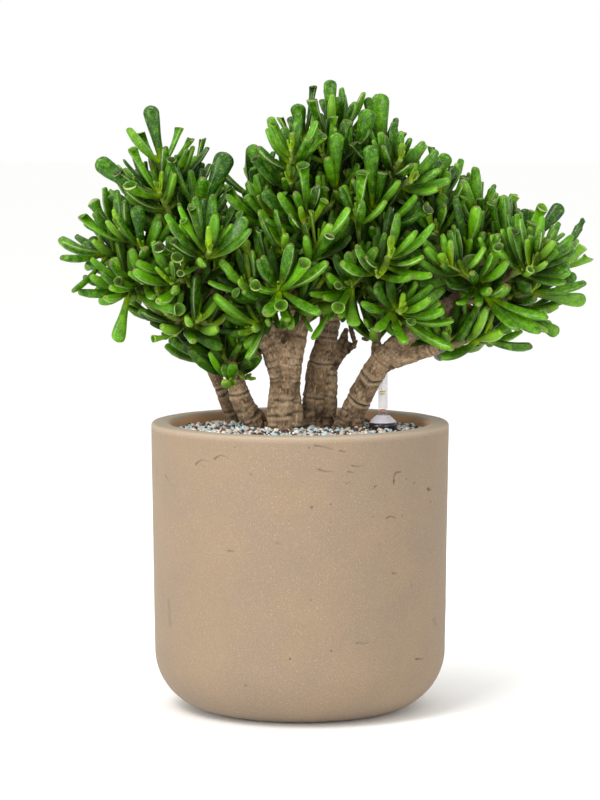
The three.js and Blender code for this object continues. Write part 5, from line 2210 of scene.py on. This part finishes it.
@dataclass
class Crown:
    """A leafy head: its shoots' stems with their leaves and growing tips."""

    name: str
    shoots: list[Shoot]
    leaves: list[Leaf]
    room: Room
    foot_radius: float = 3.8
    tip_radius: float = 2.4
    front: float = -30.0  # leaves that end before this depth have finer meshes

    def build(self, skin: Material, young_bark: Material) -> None:
        """Build the head and dress it.

        Args:
            skin: The leaves' material.
            young_bark: The shoots' material.
        """
        maker = MeshMaker("tint", "shade", "young", "pale", "back", "brown", "scar")
        shaper = LeafShaper(maker, self.room)
        for grown in self.shoots:
            self.add_stem(maker, grown)
            self.add_buds(shaper, grown)
        for number, leaf in enumerate(self.leaves):
            in_front = leaf.line.end[1] < self.front
            sides, bands = (14, 9) if leaf.named else (12, 7) if in_front else (10, 6)
            shaper.add(leaf, number * 31 + leaf.shoot * 7, sides, bands)
        head = maker.piece(self.name.replace("crown", "head"), [skin, young_bark])
        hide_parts(self.name)

    def add_stem(self, maker: MeshMaker, grown: Shoot) -> None:
        """Add a shoot's stem, swollen where its old leaves stood.

        Args:
            maker: The head's mesh.
            grown: The shoot.
        """
        length = grown.line.length()
        at = np.linspace(0, 1, max(int(length / 2.4), 8))
        node = 0.5 + 0.5 * np.cos((1 - at) * length * 2 * np.pi / 5.2)
        radius = self.foot_radius + (self.tip_radius - self.foot_radius) * at
        rings = tube_rings(grown.line, at, radius * (0.94 + 0.14 * node), 8)
        young = smooth(at, 0.15, 0.95)[:, None]
        scar = (smooth(-node, -0.35, -0.05) * (1 - 0.6 * at))[:, None]
        end = grown.line.point(1) + grown.line.tangent(1) * self.tip_radius * 0.8
        maker.skin(rings, 1, grown.line.point(0), end, young=young, scar=scar)

    def add_buds(self, shaper: LeafShaper, grown: Shoot) -> None:
        """Add the small leaves of a growing tip.

        Args:
            shaper: What adds leaves to the head's mesh.
            grown: The shoot.
        """
        draw = Draws(grown.number * 13 + 3)
        foot = grown.below_tip(1)
        for number in range(4):
            swing = grown.turn + 49 + 90 * number + draw.between(-15, 15)
            way = Growth.leaning(grown.axis, swing, draw.between(6, 16) + 10 * (number // 2))
            length = draw.between(8, 12) + 4 * (number // 2)
            line = Growth.leaf_line(foot, foot + way * length)
            bud = Leaf(line, draw.between(4.6, 6.4), LeafKind.FINGER, grown.axis, self.name, grown.number, 0)
            shaper.add(bud, grown.number * 4 + number, 7, 4)


# Water gauge


@dataclass
class WaterGauge:
    """The water gauge: a collar in the bed, a clear tube on a funnel, and a float with a red pointer."""

    across: float = 83.0
    depth: float = 3.0
    tube_radius: float = 5.2
    thickness: float = 1.0
    top: float = 346.0
    funnel_top: float = 294.0
    funnel_foot: float = 286.0
    collar_radius: float = 14.0
    collar_foot: float = 266.0
    pipe_radius: float = 7.0
    pipe_foot: float = 26.0
    rod_radius: float = 1.1
    bulb_radius: float = 4.2
    bulb_length: float = 46.0
    pointer_radius: float = 2.6
    pointer_length: float = 5.0
    pointer_foot: float = 294.6
    mark_heights: tuple[float, ...] = (314.8, 317.0)
    clearance: float = 1.2  # between the collar and the granules
    sides: int = 56

    def turned(self, name: str, profile: Sequence[Pair], finish: Material) -> None:
        """Build a turned piece and place it.

        Args:
            name: The piece's name, without the gauge's.
            profile: Its closed outline, as radii and heights.
            finish: Its material.
        """
        maker = MeshMaker()
        maker.skin(turned_rings(np.array((*profile, profile[0])), self.sides, (self.across, self.depth)))
        made = maker.piece(f"water_{name}", [finish])
        sharp_edges = made.modifiers.new("sharp_edges", "EDGE_SPLIT")
        sharp_edges.split_angle = math.radians(35)
        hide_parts(f"gauge_{name}")

    def collar(self) -> list[Pair]:
        """The collar's outline, with its grooves and rounded shoulder, and the dip pipe below it."""
        radius, foot, bore = self.collar_radius, self.collar_foot, self.pipe_radius - self.thickness
        shoulder = self.funnel_foot
        return [
            (2.0, self.pipe_foot), (self.pipe_radius, self.pipe_foot), (self.pipe_radius, foot - 0.1),
            (radius - 1.5, foot), (radius - 1.3, foot + 5), (radius - 1.9, foot + 5.6),
            (radius - 1.9, foot + 7), (radius - 1.1, foot + 7.6), (radius - 0.8, foot + 11),
            (radius - 1.4, foot + 11.6), (radius - 1.4, foot + 12.8), (radius - 0.5, foot + 13.4),
            (radius - 0.1, shoulder - 4.2), (radius, shoulder - 3), (radius - 0.1, shoulder - 1.0),
            (radius - 0.6, shoulder - 0.2), (radius - 1.2, shoulder), (bore + 0.4, shoulder),
            (bore, shoulder - 0.4), (bore, self.pipe_foot + self.thickness),
            (2.0, self.pipe_foot + self.thickness),
        ]

    def tube(self) -> list[Pair]:
        """The clear tube's outline, with its flared funnel and rounded cap."""
        bore, wide = self.tube_radius - self.thickness, self.collar_radius - 1
        foot, neck, top = self.funnel_foot + 0.3, self.funnel_top, self.top
        return [
            (bore, neck), (bore + 1.3, neck - 1.0), (bore + 4.0, neck - 3.4), (wide - 1.5, foot + 1.4),
            (wide - 1.1, foot), (wide - 0.3, foot), (wide, foot + 0.5), (wide - 0.3, foot + 1.6),
            (self.tube_radius + 4.2, neck - 3.0), (self.tube_radius + 1.2, neck - 0.4),
            (self.tube_radius, neck + 1.0), (self.tube_radius, top - 1.6),
            (self.tube_radius - 0.5, top - 0.5), (self.tube_radius - 1.6, top), (0.05, top),
            (0.05, top - self.thickness), (bore - 0.6, top - self.thickness - 0.4),
            (bore, top - self.thickness - 1.6),
        ]

    def floater(self) -> list[Pair]:
        """The outline of the float and its rod."""
        foot = self.pipe_foot + self.thickness + 0.3
        top = foot + self.bulb_length
        radius, rod = self.bulb_radius, self.rod_radius
        return [
            (0.05, foot), (radius - 0.8, foot), (radius, foot + 0.8), (radius, foot + 20),
            (radius - 0.3, foot + 20.6), (radius, foot + 21.2), (radius, top - 4), (radius - 1.2, top - 1.6),
            (rod, top), (rod, self.pointer_foot - 0.3), (0.05, self.pointer_foot - 0.3),
        ]

    def pointer(self) -> list[Pair]:
        """The pointer's outline, with soft edges and a groove between its colours."""
        foot, radius, top = self.pointer_foot, self.pointer_radius, self.pointer_foot + self.pointer_length
        return [
            (0.05, foot), (radius - 0.4, foot), (radius, foot + 0.4), (radius, foot + 1.9),
            (radius - 0.25, foot + 2.1), (radius, foot + 2.3), (radius, top - 0.5), (radius - 0.5, top),
            (0.05, top),
        ]

    def marks(self) -> None:
        """The plain level marks on the tube, towards the front."""
        maker = MeshMaker()
        angle = np.radians(np.linspace(238, 296, 18))
        for height in self.mark_heights:
            rows = []
            for out, up in ((0.02, 0), (0.2, 0.1), (0.2, 1.2), (0.02, 1.3)):
                radius = self.tube_radius + out
                x, y = self.across + radius * np.cos(angle), self.depth + radius * np.sin(angle)
                rows.append(np.stack((x, y, np.full(len(angle), height + up)), axis=1))
            strip = np.array(rows).transpose(1, 0, 2)
            maker.skin(strip, first=strip[0].mean(axis=0), last=strip[-1].mean(axis=0))
        marks = maker.piece("water_marks", [Plastic("level_marks", "d9bc1c", "e8dc74", 0.5).material()])

    def build(self) -> None:
        """Build the gauge and dress it."""
        self.turned("collar", self.collar(), Plastic("dark_plastic", "241820", "4d4149", 0.2).material())
        self.turned("tube", self.tube(), ClearPlastic().material())
        self.turned("float", self.floater(), Plastic("white_plastic", "e2dfda", "c9c4bc", 0.45).material())
        self.turned("pointer", self.pointer(), Pointer().material())
        self.marks()


# Studio


@dataclass
class Studio:
    """The camera, the floor and the soft light."""

    eye: tuple[float, float, float] = (0.0, -3.4, 0.639)
    pitch: float = 5.542  # below the horizon, in degrees
    focal: float = 3418.0  # in pixels of the photograph
    picture_height: float = 800.0
    floor_size: float = 40.0

    def camera(self) -> None:
        """Set up the camera where the photograph was taken from."""
        lens = bpy.data.cameras.new("camera")
        lens.sensor_fit = "VERTICAL"
        lens.sensor_height = 24.0
        lens.lens = self.focal / self.picture_height * lens.sensor_height
        lens.clip_end = 200
        camera = bpy.data.objects.new("camera", lens)
        camera.location = self.eye
        camera.rotation_euler = (math.radians(90 - self.pitch), 0, 0)
        bpy.context.scene.collection.objects.link(camera)
        bpy.context.scene.camera = camera

    def floor(self) -> None:
        """Lay the pale floor."""
        half = self.floor_size / 2
        mesh = bpy.data.meshes.new("floor")
        corners = [(-half, -half, 0), (half, -half, 0), (half, half, 0), (-half, half, 0)]
        mesh.from_pydata(corners, [], [(0, 1, 2, 3)])
        shader = Shader("floor_paint")
        grain = shader.noise(shader.place(), 0.8, 2.0)
        base = shader.mix(grain * 0.2, "fefefd", "f8f7f5")
        mesh.materials.append(shader.finish(base, 1.0, others={"Specular IOR Level": 0.1}))
        floor = bpy.data.objects.new("floor", mesh)
        bpy.context.scene.collection.objects.link(floor)

    @staticmethod
    def lamp(name: str, place: Place, size: float, power: float, colour: Colour) -> None:
        """Hang a soft lamp that faces the plant.

        Args:
            name: The lamp's name.
            place: Where it hangs, in metres.
            size: How wide it is, in metres.
            power: Its power, in watts.
            colour: Its colour.
        """
        light = bpy.data.lights.new(name, "AREA")
        light.size = size
        light.energy = power
        light.color = colour
        lamp = bpy.data.objects.new(name, light)
        lamp.location = place
        way = Vector((0, 0, 0.35)) - Vector(place)
        lamp.rotation_euler = way.to_track_quat("-Z", "Y").to_euler()
        bpy.context.scene.collection.objects.link(lamp)

    def build(self) -> None:
        """Set up the camera, the floor, the light and the picture's plain rendering."""
        self.camera()
        self.floor()
        scene = bpy.context.scene
        scene.view_settings.view_transform = "Standard"
        world = bpy.data.worlds.new("world")
        world.use_nodes = True
        background = world.node_tree.nodes["Background"]
        background.inputs["Color"].default_value = (1.0, 1.0, 1.0, 1.0)
        background.inputs["Strength"].default_value = 1.0
        scene.world = world
        self.lamp("key", (-1.1, -1.8, 2.5), 1.1, 45, (1.0, 0.985, 0.96))
        self.lamp("left", (-2.0, -1.6, 0.7), 1.0, 24, (1.0, 0.985, 0.96))
        self.lamp("right", (1.3, -2.4, 0.7), 1.0, 18, (1.0, 0.985, 0.96))
        self.lamp("top", (0.4, -0.2, 2.8), 0.8, 12, (1.0, 1.0, 0.97))


def main() -> None:
    """Build the plant piece by piece and set up its studio."""
    logging.basicConfig(level=logging.INFO, format="%(message)s")
    Planter().build()
    gauge = WaterGauge()
    gauge.build()
    standing = [(gauge.across, gauge.depth, gauge.collar_radius + gauge.clearance)]
    bark = Bark().material()
    for number, (name, limbs) in enumerate(STEMS.items()):
        wood = Wood(name, [*limbs, *BURLS[name]], SCARS[name], number)
        wood.build(bark)
        standing.append(wood.stands())
    build_twigs(bark)
    Bed().build(standing)
    growth = Growth()
    growth.grow()
    LOG.info("%d shoots with %d leaves", len(growth.shoots), len(growth.leaves))
    skin, young_bark = LeafSkin().material(), YoungBark().material()
    for name in HEADS:
        shoots = [grown for grown in growth.shoots if grown.head == name]
        leaves = [leaf for leaf in growth.leaves if leaf.head == name]
        Crown(name, shoots, leaves, growth.room).build(skin, young_bark)
    Studio().build()


if __name__ == "__main__":
    main()
